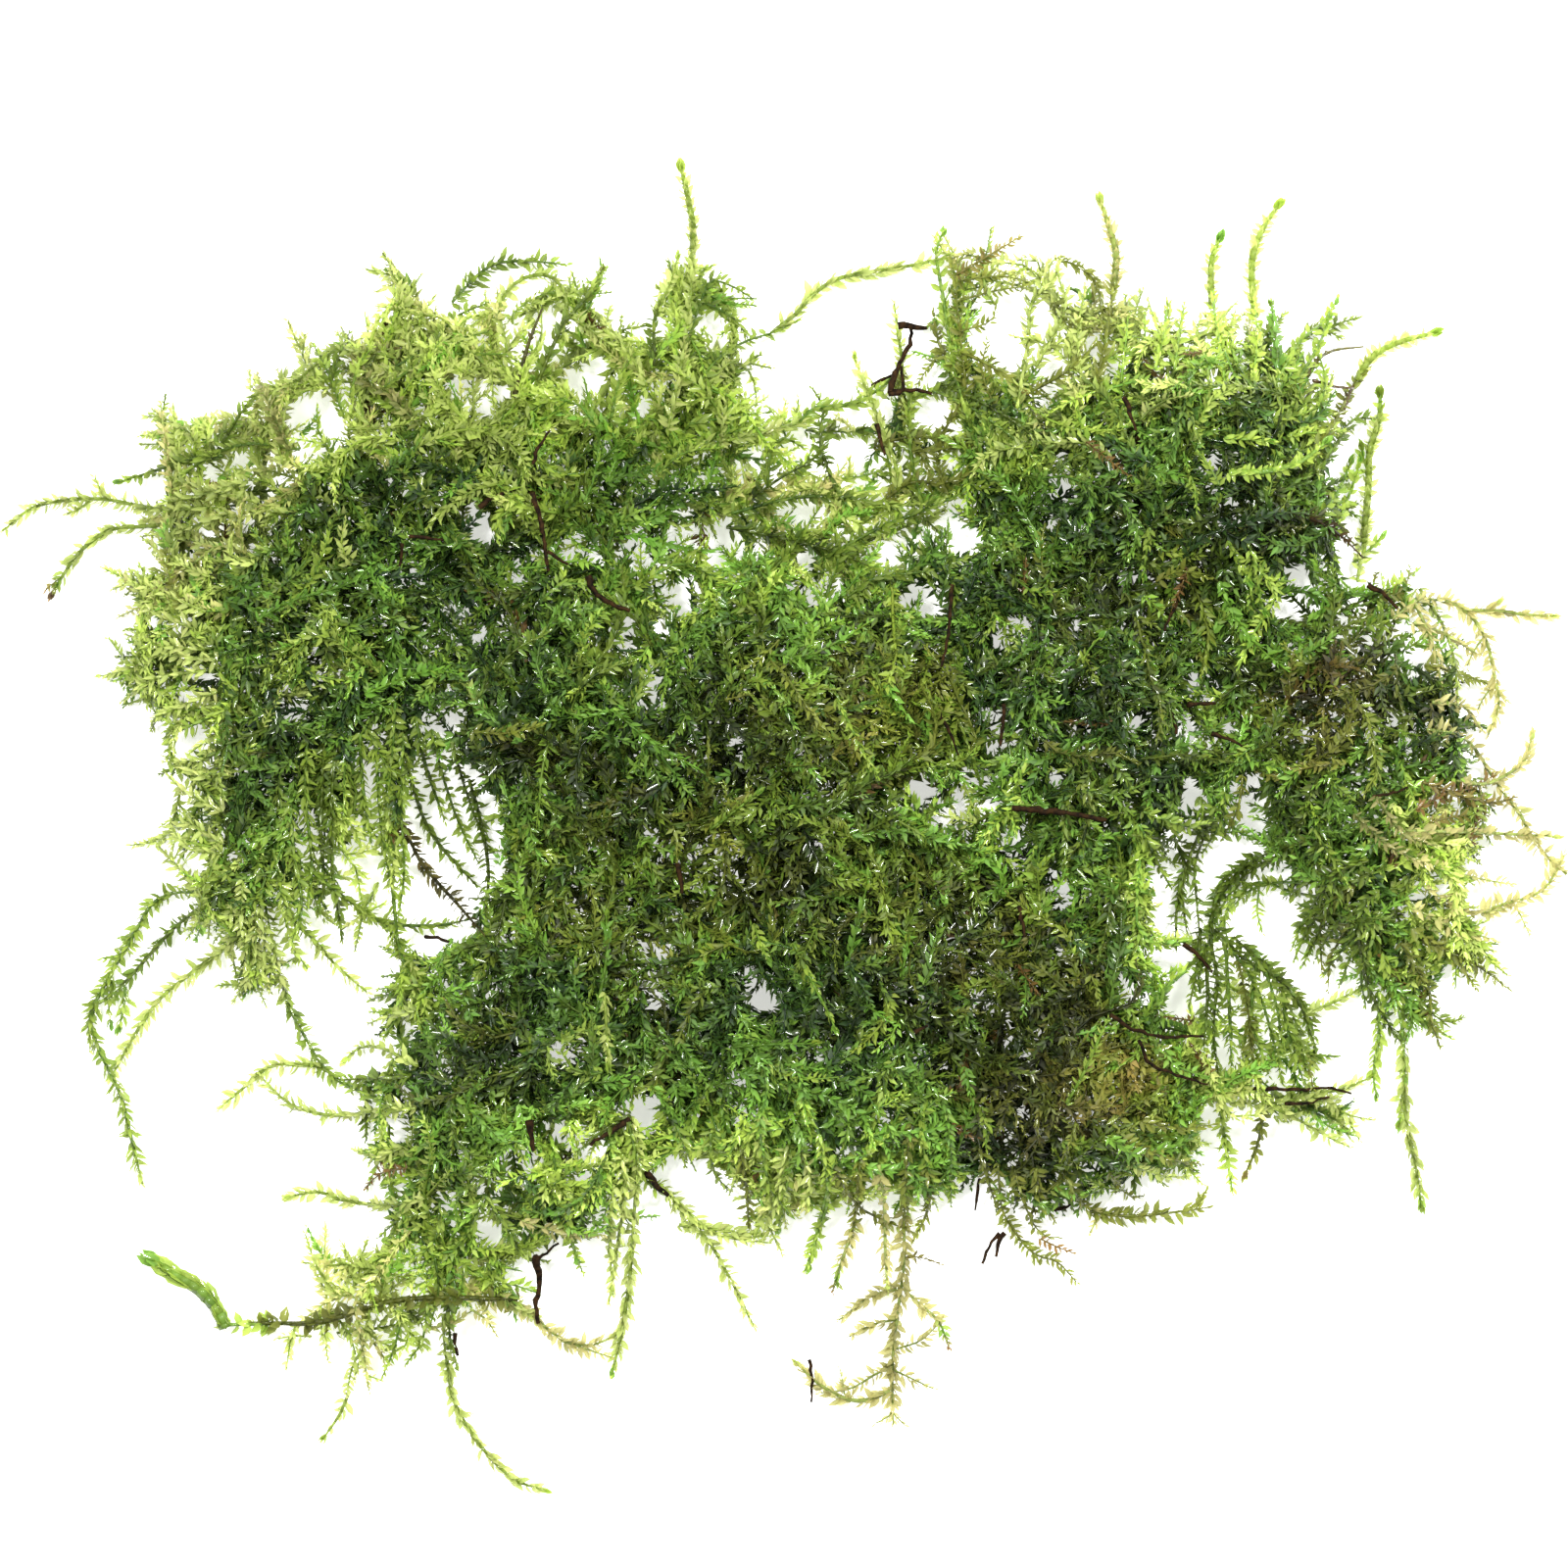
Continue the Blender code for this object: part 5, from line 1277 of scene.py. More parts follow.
    (B, OLIVE, 0.4, 18.6, -30.4, 19.6, -34, 20.4, -36.2), (F, OLIVE, 0.5, 31, -32.8, 33, -35.2, 34.4, -35.3),
    )),
    Tuft("tuft_lower_corner", "fresh_moss", FRESH, 0.4, 300, 45, 3.4, rims(
    (B, MATURE, 0.4, 39.8, -9.6, 39.4, -13, 38.5, -16.8),
    (B, MATURE, 0.35, 40.2, -11.4, 40.3, -16, 39.9, -20.6),
    (B, MATURE, 0.3, 41.2, -9.6, 44, -12.5, 47, -14.2, 49.4, -17, 50.6, -20.2),
    (B, FRESH, 0.4, 42.2, -11.6, 42.4, -17, 42.6, -22.6),
    (B, FRESH, 0.4, 45.2, -12.6, 44.6, -18, 46.2, -23.4), (B, FRESH, 0.4, 47.6, -14.8, 48, -19, 49.7, -24.4),
    (F, FRESH, 0.4, 42, -10.6, 45, -15, 46.6, -20, 47.6, -24.4),
    (F, MATURE, 0.35, 43, -10.4, 46.6, -14, 48.8, -18.4, 49.8, -22.6),
    (F, OLIVE, 0.4, 43.4, -12.8, 44.2, -17, 44.6, -21.6, 45.8, -25.2),
    (F, MATURE, 0.4, 44, -11.2, 48, -14.6, 50.4, -18, 51, -22.8),
    (F, FRESH, 0.4, 46, -13.6, 47.2, -18, 47.2, -22.4),
    (B, MATURE, 0.35, 45.6, -2.6, 43.2, -4.8, 41.2, -7.8, 40.8, -11, 41.3, -14.6, 40.8, -18.8, 41.4, -24),
    (F, LIME, 0.45, 40, -25.8, 45, -26.3, 49, -26, 53, -25.9),
    (F, LIME, 0.55, 42.8, -24.8, 46.2, -26.5, 49.2, -27.9, 51.8, -29.4, 54.2, -30.6),
    (F, LIME, 0.55, 49.6, -25.6, 52.2, -26, 53.8, -27.4, 56.4, -28),
    (T, LIME, 0.6, 49.8, -25, 53, -25.2, 56.4, -23.9), (T, OLIVE, 0.45, 45.8, -25.6, 45.5, -30, 44.2, -33.4),
    (T, FRESH, 0.5, 41.3, -25.6, 42, -28.4, 42.4, -30.8),
    (C, OLIVE, 0.5, 49.4, -21.6, 50.3, -23.4, 50.6, -24.8),
    )),
    Tuft("tuft_bottom_left", "fresh_moss", LIME, 0.45, 190, 60, 2.4, rims(
    (S, OLIVE, 0.35, -25.6, -45.2, -30.4, -44.9, -34.5, -44.9, -38.5, -45.4, -42.1, -46.6, -45.2, -47.4,
     -51.2, -47.5), (F, LIME, 0.65, -42.6, -45, -44.7, -42.1, -45.9, -39),
    (F, LIME, 0.65, -39.6, -45, -40.6, -42.6, -42.4, -39.8),
    (F, LIME, 0.55, -38.5, -45, -38, -42, -38.9, -40.4),
    (F, LIME, 0.65, -43.8, -47, -43.9, -49, -43.7, -50.9),
    (F, LIME, 0.65, -46.8, -47.6, -47.4, -49.6, -47.7, -51.8),
    (F, LIME, 0.6, -39.6, -46, -40.1, -49.2, -41.4, -51.7, -42, -54.8),
    (T, LIME, 0.6, -41.7, -54, -42.6, -56.2, -44.3, -58.7),
    (F, FRESH, 0.5, -36.5, -46, -37.2, -49.5, -38.4, -52.4),
    (F, FRESH, 0.45, -34, -45.4, -34.6, -49, -36.2, -51.3),
    (F, MATURE, 0.35, -32, -44.6, -32, -48, -31.4, -51.7),
    (F, LIME, 0.5, -32.6, -46.4, -32.4, -50.7, -31.8, -54.4),
    (F, LIME, 0.5, -27.2, -44.6, -25.4, -46, -22.9, -48),
    (B, FRESH, 0.45, -28.4, -41.6, -27.2, -44, -25.4, -45.8),
    (F, FRESH, 0.4, -30.6, -41.6, -30.8, -44, -31.4, -46.4),
    (F, YELLOW, 0.55, -30, -46, -28.6, -47, -27.6, -48.6),
    (F, FRESH, 0.4, -33.4, -41, -33, -44, -33.8, -47.6),
    )),
)


@dataclass(frozen=True)
class Trailing:
    """One shoot that trails out of the heap, with its side shoots."""

    name: str
    slot: str
    habit: Habits
    stage: Stage
    pale: float
    route: tuple
    sides: tuple = ()
    tip: Stage | None = None


TRAILING = (
    Trailing("shoot_far_left", "fresh_moss", B, LIME, 0.5, (-59, 30.4, -62.2, 31, -65.6, 31.6,
        -69.5, 31.4, -72.4, 30.6, -75, 28.5), (
        (F, (-65, 31.5, -65.6, 32.4, -66.1, 33.6)), (F, (-66.6, 31.4, -68, 30.4, -68.8, 30.2)))),
    Trailing("shoot_left_brown_tip", "yellowing_moss", T, LIME, 0.5, (-60.2, 29, -62.2, 28.9, -64.7,
        28.6, -67.1, 27, -68.8, 24.9, -70.4, 22.2), (
        (C, (-69.4, 24, -70.2, 23.5, -70.8, 22.9)),), RUST),
    Trailing("shoot_top_spire", "fresh_moss", P, LIME, 0.55, (-9, 53, -8.7, 57, -9.1, 59.9, -9.9,
        63.6)),
    Trailing("shoot_upper_arc", "mature_moss", F, FRESH, 0.26, (-31.8, 50.4, -29.8, 52.7, -27.6, 54.2,
        -24.5, 54.4, -21, 54.1)),
    Trailing("shoot_thin_arc", "fresh_moss", T, LIME, 0.6, (-1, 47.7, 1.2, 49.4, 3, 51.4, 5.4,
        52.8, 9, 53.5, 12.2, 54, 15.8, 54.8)),
    Trailing("shoot_tall_pale", "yellowing_moss", P, YELLOW, 0.62, (31.6, 51.6, 31.9, 55, 31.3, 57.4,
        30.3, 60.4)),
    Trailing("shoot_bright_upright", "fresh_moss", P, LIME, 0.75, (41.1, 49.8, 41, 54.2, 41.9, 56.8),
        (), FRESH),
    Trailing("shoot_bright_tall", "fresh_moss", P, LIME, 0.85, (45.2, 49, 44.9, 54.1, 45.8, 57.2,
        47.5, 59.9), (), LIME),
    Trailing("shoot_pale_reach", "fresh_moss", P, LIME, 0.85, (55, 43, 56.4, 45.2, 58.9, 46.6,
        62.6, 47.6)),
    Trailing("shoot_right_upright", "fresh_moss", P, LIME, 0.6, (55.6, 27.4, 56.1, 32.7, 56.2, 36.2,
        57.1, 39.2, 57.2, 41.8), (
        (T, (56.2, 34, 55.6, 35.4, 55.4, 36.8)),), EMERALD),
    Trailing("shoot_yellow_arc", "yellowing_moss", B, YELLOW, 0.55, (62.6, 22, 64.6, 21.4, 66.4,
        19.8, 67.6, 17.4, 68.2, 14.5, 68.6, 11.8, 67.6, 9), (
        (C, (68.4, 13.2, 69, 12.4, 69.7, 12)), (C, (67.2, 18.4, 66.2, 17, 65.6, 15.6)),
        (C, (68.3, 14, 67.2, 12.6, 66.6, 11.4)))),
    Trailing("shoot_right_thin", "yellowing_moss", T, YELLOW, 0.6, (65.6, 20.9, 68.8, 20.8, 71, 20.5,
        74.1, 20.3), (
        (T, (67.4, 20.8, 68.2, 21.3, 68.8, 21.8)),)),
    Trailing("shoot_far_right", "yellowing_moss", B, YELLOW, 0.5, (69.8, 2.4, 70.6, 1.4, 71.9, -1,
        73.3, -2.8, 75.1, -4.4)),
    Trailing("shoot_yellow_curl", "yellowing_moss", F, YELLOW, 0.65, (67, -8.2, 68.8, -7.4, 71.2,
        -6.7, 73.2, -5.6, 74.9, -2.6)),
    Trailing("shoot_right_trailing", "fresh_moss", T, LIME, 0.5, (59.5, -21.8, 59.5, -25.2, 59.8,
        -28.6, 60.6, -32.5, 61.2, -36.6), (
        (T, (59.4, -25.4, 59.2, -27, 59, -28.6)),), EMERALD),
    Trailing("shoot_lower_bright", "fresh_moss", B, FRESH, 0.65, (42, -28.6, 42.6, -32, 43, -34.8)),
    Trailing("shoot_lower_level", "olive_moss", F, OLIVE, 0.55, (29.4, -36.8, 32, -37.2, 35.5, -37.1,
        40.7, -36.4), (
        (F, (38.6, -36.7, 39.8, -35.8, 40.4, -35)),)),
    Trailing("shoot_lower_curl", "olive_moss", C, OLIVE, 0.5, (21.6, -37.6, 22.6, -39.4, 24.2, -41,
        26.2, -41.6, 28, -43.5)),
    Trailing("shoot_bottom_main", "yellowing_moss", F, YELLOW, 0.36, (11.5, -37, 11.5, -42, 10.9,
        -46.6, 10.4, -51.7, 10.5, -57.2), (
        (F, (11.2, -44.2, 8.4, -44.9, 5.3, -47.2)), (F, (10.8, -47.2, 8.6, -47.6, 6.3, -48.8)),
        (C, (10.5, -51.6, 8.8, -52.4, 6.4, -53.8, 3.6, -54.2)),
        (C, (10.5, -52, 12.6, -53, 14.3, -53.8)), (C, (10.7, -50, 13.1, -49.2, 15, -47.4)),
        (C, (10.4, -56, 9.6, -56.9, 8.9, -57.1)), (C, (10.4, -56, 11, -56.8, 11.5, -57.2)))),
    Trailing("shoot_bottom_left_branch", "yellowing_moss", T, YELLOW, 0.5, (10.2, -54, 8, -54.9,
        6, -54.8, 3.4, -53.4, 1.1, -51.3), (
        (C, (5.8, -54.4, 5.6, -53, 5.4, -52)),)),
    Trailing("shoot_bottom_right_branch", "yellowing_moss", F, YELLOW, 0.5, (11.6, -44.4, 13.6, -46.2,
        14.9, -47.4, 15.8, -49.7), (), RUST),
    Trailing("shoot_bottom_side", "yellowing_moss", B, YELLOW, 0.5, (6.9, -37.6, 5.6, -41.4, 4.7,
        -44.4), (), RUST),
    Trailing("shoot_bottom_beaded", "fresh_moss", B, LIME, 0.55, (-10.8, -35.6, -8.9, -37.8, -7,
        -40, -5, -43.6, -2.9, -47.8)),
    Trailing("shoot_bottom_long", "fresh_moss", T, LIME, 0.5, (-14.5, -39, -14.9, -44, -15.7,
        -48.8, -16.5, -52.4), (), FRESH),
    Trailing("shoot_bottom_curl", "yellowing_moss", F, YELLOW, 0.5, (-25.4, -45.6, -23, -47.8, -20.8,
        -49.3, -18.4, -49.6, -16, -48.6), (
        (C, (-21.4, -49.2, -19, -50, -16.6, -50.8)),)),
    Trailing("shoot_bottom_tail", "fresh_moss", T, LIME, 0.55, (-32.3, -51, -31.8, -54.6, -30.2,
        -57.8, -28.1, -60.5, -25.8, -62.6, -22.7, -63.6)),
    Trailing("shoot_far_lower_left", "mature_moss", K, FRESH, 0.62, (-53.6, -48, -54.4, -46.2, -55.9,
        -44.5, -57.9, -43.2, -60.5, -41.6), (
        (S, (-49, -47.5, -51.5, -47.6, -54.4, -47.7)),)),
    Trailing("shoot_left_level", "fresh_moss", T, LIME, 0.6, (-38.8, -36.2, -42.4, -35.7, -44.8, -34.9,
        -47.9, -35.5)),
    Trailing("shoot_left_fork", "fresh_moss", B, LIME, 0.6, (-44.4, -22.9, -47.5, -22.6, -49.8, -23.1,
        -51.5, -24.6, -54.2, -26.9)),
    Trailing("shoot_left_link", "mature_moss", F, FRESH, 0.35, (-48.4, -14.2, -47.4, -17.4, -46,
        -20, -44.6, -22.4, -42.6, -24.4, -39.6, -25.8)),
    Trailing("shoot_left_inner_tip", "fresh_moss", B, LIME, 0.5, (-45.6, -10, -43.9, -12.2, -42.2,
        -13.9, -40.1, -15.7)),
    Trailing("shoot_left_outer", "mature_moss", B, FRESH, 0.4, (-58.6, -6.2, -60.6, -7.2, -62.1, -9.7,
        -63.6, -12.2, -65.4, -15.4, -66.6, -18.3, -65.6, -21.6, -63.7, -25.6, -62.7, -29.6, -61.6,
        -34.1), (
        (B, (-65.9, -16.4, -66.6, -18.8, -66.6, -21.2)),), LIME),
    Trailing("shoot_left_pale", "fresh_moss", B, LIME, 0.62, (-53, -11.2, -55.4, -12.8, -57.9, -14.7,
        -60, -16.5, -61.7, -18.9, -63.2, -21.4, -64.6, -24)),
    Trailing("shoot_window_left", "mature_moss", B, MATURE, 0.35, (37.6, -1.4, 38.5, -3.6, 38.2, -6,
        38.6, -9.6)),
    Trailing("shoot_window_right", "mature_moss", B, MATURE, 0.35, (45, -2.6, 43.6, -3.8, 42, -5.2,
        41.2, -7.4, 41, -10)),
)


@dataclass(frozen=True)
class Stick:
    """One bare dead stem: radius and x, y points in mm, and how far it lies over the heap."""

    radius: float
    route: tuple
    over: float = 0.4


STICK_NODES = {
    "dead_stem_upright": (Stick(0.3, (10.1, 41.6, 10.7, 43.6, 11.5, 45.3, 12.1, 46.4, 12.1, 47.9),
                                1.6),
                          Stick(0.22, (10, 41.4, 11.4, 41.8, 11.2, 44.2), 1.4)),
    "dead_stem_crossbar": (Stick(0.3, (10.9, 48.1, 12.2, 48, 13.7, 47.8), 2.6),),
    "dead_stem_right": (Stick(0.2, (44.8, -24.8, 49.8, -25, 52.2, -24.9, 54.5, -25.5)),
                        Stick(0.16, (47.8, -26.4, 50, -26.3, 52.2, -25.7))),
    "dead_stem_bottom": (Stick(0.24, (21.2, -38.9, 20.7, -39.6, 20.3, -41.1), 0.1),
                         Stick(0.2, (20.6, -38.8, 19.7, -40, 19.1, -41.9), 0.1)),
    "dead_stem_lower_left": (Stick(0.34, (-23.8, -40.9, -23.4, -43.6, -23.8, -45.4, -23.6, -47.4),
                                   0.6),
                             Stick(0.2, (-23.9, -41.6, -22.8, -40.6, -21.6, -39.6), 0.6)),
}

LOOSE_STICKS = (
    Stick(0.24, (10.1, 41.6, 12.2, 42, 14.2, 41.6), 0.3), Stick(0.2, (8.4, 42.4, 9.4, 43, 10.4, 43.4), 0.6),
    Stick(0.24, (8.9, 38.6, 9.3, 36.8, 9.6, 35.6), 0.1), Stick(0.26, (-23.9, 31.8, -23, 28.8, -22.4, 24.4)),
    Stick(0.2, (-22.5, 26.3, -21.4, 25.6, -20.4, 25.1)), Stick(0.24, (-29, 30.6, -27.2, 31.6, -25.4, 32.3)),
    Stick(0.2, (-23.9, 34.6, -23.2, 36.4, -22.2, 37.9)),
    Stick(0.3, (-18.6, 24, -17.8, 22.2, -16.2, 21.2, -14.6, 20.7)),
    Stick(0.18, (-35.6, 27.8, -33.8, 27.6, -32.2, 27.4)),
    Stick(0.18, (-36.2, 27.2, -36.4, 25.6, -36.5, 24.9)), Stick(0.24, (32.2, 40.8, 32.8, 39.2, 33.3, 37.7)),
    Stick(0.22, (16, 23.2, 15.8, 20.4, 15.6, 18, 14.9, 15.4)),
    Stick(0.22, (20.8, 11.8, 20.7, 9.8, 20.4, 7.8)), Stick(0.18, (14.6, 11, 15.6, 9.2, 16.5, 7)),
    Stick(0.32, (21.6, 1.9, 25.8, 1.6, 30.6, 0.8)), Stick(0.24, (38.4, 11.8, 39.6, 11.8, 41, 12)),
    Stick(0.24, (36.8, 11, 37, 9.8, 37.2, 9)), Stick(0.2, (40.6, 9, 42.4, 8.4, 44.2, 7.5)),
    Stick(0.24, (55.6, 23.2, 57, 22.4, 58.4, 21)), Stick(0.16, (55.6, 3, 57.2, 3.3, 59, 3.9)),
    Stick(0.22, (38.1, 24.6, 37.2, 21.4, 36, 18.8)), Stick(0.24, (38, -11, 39.4, -12, 40.8, -13.8)),
    Stick(0.22, (22.4, -7.4, 22.6, -8.8, 22.9, -10.2)), Stick(0.22, (12.3, -19.3, 12.9, -18.9, 13.5, -18.5)),
    Stick(0.18, (33.6, -20, 34.4, -22, 36.4, -23, 40.2, -24.4)),
    Stick(0.2, (30.8, -17.6, 33.2, -19, 35.8, -19.7, 39.8, -19.7)),
    Stick(0.34, (-24.2, -27.6, -24, -29, -23.7, -30.4)),
    Stick(0.26, (-14.6, -27.6, -16.2, -28.6, -18.4, -30)), Stick(0.28, (-10.1, -3.4, -9.9, -4.6, -9.8, -6.2)),
    Stick(0.24, (-31.5, -48.4, -31.4, -49.4, -31.2, -50.4)),
    Stick(0.34, (-13.2, -32.8, -12.2, -34.2, -11.2, -35.2)),
    Stick(0.18, (2.4, -51, 2.7, -53, 2.6, -55.1), 0.1),
    Stick(0.16, (18.7, -33.6, 18.5, -35, 18.3, -36.6), 0.1),
    Stick(0.2, (26, -36.5, 26.8, -36.4, 27.6, -35.9), 0.1),
    Stick(0.2, (-34.4, -10.4, -33, -10.5, -31.6, -10.9), 0.1),
)

ON_TOP = rims(
    (B, DEAD, 0.3, 50, 29.5, 52.6, 28.2, 55.4, 26), (C, RUST, 0.6, 28.6, 36.6, 30.4, 35, 32.4, 33.4),
    (C, RUST, 0.5, 38.2, 24.6, 37.6, 22.8, 36.8, 20.8),
    (B, EMERALD, 0.6, -15.8, 11, -13.2, 8.7, -10.9, 7.2, -7.4, 5.3),
    (T, FRESH, 0.5, -7, -0.1, -4.6, 1.7, -2.2, 3.6), (B, FRESH, 0.6, 5, 12.2, 6, 10.2, 7.6, 7, 8.8, 5),
    (F, EMERALD, 0.75, 41.4, 23.4, 43, 19.8, 45.6, 16.8, 47.8, 15),
    (T, FRESH, 0.6, 42, 27.2, 43, 25.4, 44.2, 23.2), (F, EMERALD, 0.55, 34.6, 33.8, 36.6, 33.4, 39, 32.6),
    (B, FRESH, 0.5, 38.4, 33.2, 38.8, 31.6, 38.9, 30), (T, FRESH, 0.45, 34.6, 28.4, 34.3, 26.2, 34, 23.8),
    (T, FRESH, 0.55, 28.2, 15.8, 29, 17.2, 30.2, 18.4), (T, EMERALD, 0.5, 32.8, 17.8, 34, 16.4, 35.2, 15.2),
    (T, FRESH, 0.6, 0.9, -10.8, 3, -15.1, 4.2, -17.4, 4.9, -19),
    (B, EMERALD, 0.6, 6.9, -16, 8.6, -17.2, 10.3, -18.4), (T, EMERALD, 0.55, 5.9, -13.4, 7, -8.6, 7.9, -5.2),
    (T, EMERALD, 0.55, 11, -15.4, 11.3, -13, 11.7, -10.4),
    (T, EMERALD, 0.6, -4.8, -20.6, -1, -20.3, 3.2, -20.2),
    (B, FRESH, 0.65, 26.7, -26, 28.4, -22.8, 30.5, -18), (F, FRESH, 0.6, 13, -26.6, 13, -28, 13, -29.6),
    (F, FRESH, 0.6, 18.8, -26.4, 19.2, -28.4, 19.2, -30.4),
    (F, EMERALD, 0.5, 17.2, -22.6, 17.5, -24.2, 17.8, -26),
    (T, EMERALD, 0.6, -17.8, -17.4, -16.9, -12.6, -16.9, -7.8),
    (T, LIME, 0.6, -17, -15.6, -16.8, -19, -16.6, -22.6),
    (B, EMERALD, 0.55, -9.8, -20.4, -8.6, -22, -7.5, -24),
    (B, EMERALD, 0.55, -6.6, -24.4, -4.6, -23.6, -2.6, -22.8),
    (T, FRESH, 0.5, -2.8, -9, -2.3, -10.6, -1.4, -12.6), (C, LIME, 0.7, -49.4, 9.8, -48.2, 12.2, -46.6, 14.6),
    (F, EMERALD, 0.85, -39.8, 12.8, -35.5, 14.5, -33, 15, -30.8, 14.6),
    (B, EMERALD, 0.6, -50, 19.8, -46.7, 21.6, -42.6, 22.8, -37.2, 24.8),
    (F, EMERALD, 0.4, -53.6, 24.2, -51, 23, -48.4, 22), (F, EMERALD, 0.4, -53, 21.6, -50.6, 21, -48, 19.6),
    (F, FRESH, 0.5, -45, 23.4, -43.8, 26, -43, 28.6), (F, LIME, 0.5, -41.2, 25, -42, 27, -41.6, 29.2),
    (B, FRESH, 0.5, -12, 33.6, -9.6, 35.6, -6, 36.2), (F, FRESH, 0.5, 22, 23.8, 23.6, 22.6, 25.4, 22.4),
    (T, FRESH, 0.55, 45.6, 25.4, 45, 22.8, 45.8, 20.4), (F, OLIVE, 0.6, 35.2, 23.4, 37.6, 24.4, 40.6, 23.6),
    (B, YELLOW, 0.3, 54, 1.4, 57, -1.4, 60, -3), (B, YELLOW, 0.35, 56, 3, 58.6, -0.4, 62, -1.6),
    (B, FRESH, 0.4, 50.2, 0, 51.8, -2.6, 53.6, -5.4), (F, OLIVE, 0.6, -29.4, 9.2, -26.4, 9, -23, 9.8),
    (F, EMERALD, 0.55, 1.4, -24.6, 4.4, -25.4, 8, -27.4), (F, EMERALD, 0.5, 5, -23.6, 7.6, -24.8, 9, -27),
)


class ShootBuilder:
    """Lays listed shoots on the heap with its own draws: what all shoot builders share."""

    TIP = 3.0  # length of a tip that has a stage of its own

    def __init__(self, heap: HeapMap, seed: int) -> None:
        """Start the draws and an empty mesh."""
        self.heap = heap
        self.weave = Weave(heap, seed)
        self.mesh = MossMesh(self.weave.draws)

    def _lay(self, rim: Rim, size: float, roll: float, over: float = 0.0,
             tip: Stage | None = None) -> None:
        """Trace, dress and stamp one shoot.

        Args:
            rim: the shoot.
            size: leaf size over the habit's own.
            roll: scatter of the flat side's turn about the stem, in radians.
            over: how far the shoot lies over the heap, in mm.
            tip: stage of its last stretch, or None where that is the shoot's own.
        """
        track = self.weave.trace(rim.route)
        track[:, 2] += over
        dressed = self.weave.dress(track, rim.stage.place, rim.pale, size,
                                   roll=self.weave.draws.normal(0.0, roll))
        if tip is not None:
            share = np.clip(1.0 - dressed.to_tip / self.TIP, 0.0, 1.0)
            dressed.place[:] += (tip.place - dressed.place) * share
        self.mesh.leafy(dressed, rim.habit.value)


class TuftBuilder(ShootBuilder):
    """Grows one tuft's shoots over the heap and joins them into a piece."""

    DEPTH_SPREAD = 0.36  # scatter of the shoots' depth, as a share of the height
    SHOOT_WIDTH = 1.7  # what one shoot covers across
    MAIN_LENGTH = (5.0, 16.0)
    SIDE_LENGTH = (2.0, 5.5)
    SIDE_EVERY = (3, 9)  # leaf pairs from one side shoot to the next
    SIDE_FIRST = (2, 6)  # leaf pairs to the first one
    SIDE_ANGLE = (50.0, 12.0)  # and its scatter, in degrees
    MAIN_SWAY = 0.1  # bend of the main shoots, in radians for each step
    SIDE_SWAY = 0.08
    BARE_RIM = (0.06, 6.3)  # share of shoots that start at the rim, and how far in all do
    THINNED = 0.88  # share of full cover
    TURNED = 0.25  # share of shoots that run against the lean
    MOTTLE = 4.2  # size of the lighter and darker parts of the tangle
    MOTTLE_LAYERS = (20.0, 9.0)  # of the noise for the stage, and from it to the paleness
    MOTTLE_STAGE = 0.16  # how far the stage strays with them
    MOTTLE_PALE = 0.42  # and the paleness
    EDGE_REACH = 3.5  # how far in from the rim and the gaps the painted glow reaches, where light from the table shines through thin shoots
    EDGE_LIME = 0.65  # how far the painted glow draws the stage to lime
    EDGE_PALE = 0.24  # how much paler the painted glow makes it
    PAINTED_DEPTH_SHADE = 0.3  # painted shade: how much darker shoots low in the heap, on the table, are
    PAINTED_CREST_LIGHT = (0.12, 0.85)  # painted light: how much paler the topmost shoots are, and from which depth on
    SCATTER = (0.05, 0.12)  # of stage and paleness from shoot to shoot
    DEAD_SHARE = 0.007  # of rusty dead shoots
    DEAD_PALE = 0.3
    BRIGHT_SHARE = 0.05  # of emerald shoots
    BRIGHT_PALE = 0.12  # how much paler these are
    PALE_LIMITS = (0.03, 0.95)
    SIZES = (0.85, 1.1)  # least and greatest leaf size
    DEEP_GROWTH = 0.45  # how much larger the deepest leaves are
    SEED = 100
    RIM_SIZES = (0.84, 1.1)  # leaf size of feathery and of other listed shoots
    RIM_ROLL = 0.25

    def __init__(self, tuft: Tuft, index: int, heap: HeapMap) -> None:
        """Keep what the tuft grows on."""
        super().__init__(heap, self.SEED + index)
        self.tuft = tuft
        self.index = index

    def build(self, material: bpy.types.Material) -> bpy.types.Object:
        """Grow, stamp and join the tuft."""
        woven = [self._coloured(track, depth) for track, depth in self._grow()]
        self.mesh.leafy(Shoots.join(woven), Habits.WOVEN.value, fine=False)
        for rim in self.tuft.rim:
            size = self.RIM_SIZES[0 if rim.habit is Habits.FEATHERY else 1]
            self._lay(rim, size, self.RIM_ROLL)
        return self.mesh.finish(self.tuft.name + "_shoots", material)

    def _grow(self) -> list[tuple[np.ndarray, float]]:
        """Grow the tuft's woven shoots and their side shoots, each with its depth."""
        draws = self.weave.draws
        cells = np.argwhere((self.heap.owner == self.index) & self.heap.open)
        shore = self.heap.shore[cells[:, 0], cells[:, 1]]
        weight = opening(shore, *self.BARE_RIM)
        cover = len(cells) * CELL ** 2 * self.tuft.layers * float(np.mean(weight)) / self.SHOOT_WIDTH
        count = int(self.THINNED * cover / np.mean(self.MAIN_LENGTH))
        picked = cells[draws.choice(len(cells), count, p=weight / weight.sum())]
        start = np.column_stack([picked[:, 1] * CELL - MAP_HALF_X, picked[:, 0] * CELL - MAP_HALF_Y])
        start += draws.uniform(-0.5, 0.5, start.shape) * CELL
        heading = np.radians(self.tuft.lean + draws.normal(0.0, self.tuft.scatter, count))
        heading += np.where(draws.random(count) < self.TURNED, math.pi, 0.0)
        length = draws.uniform(*self.MAIN_LENGTH, count)
        depth = np.clip(1.0 - np.abs(draws.normal(0.0, self.DEPTH_SPREAD, count)), 0.04, 1.0)
        mains = self._keep(self.weave.wander(start, heading, length, depth, self.MAIN_SWAY), depth)
        return mains + self._side_shoots(mains)

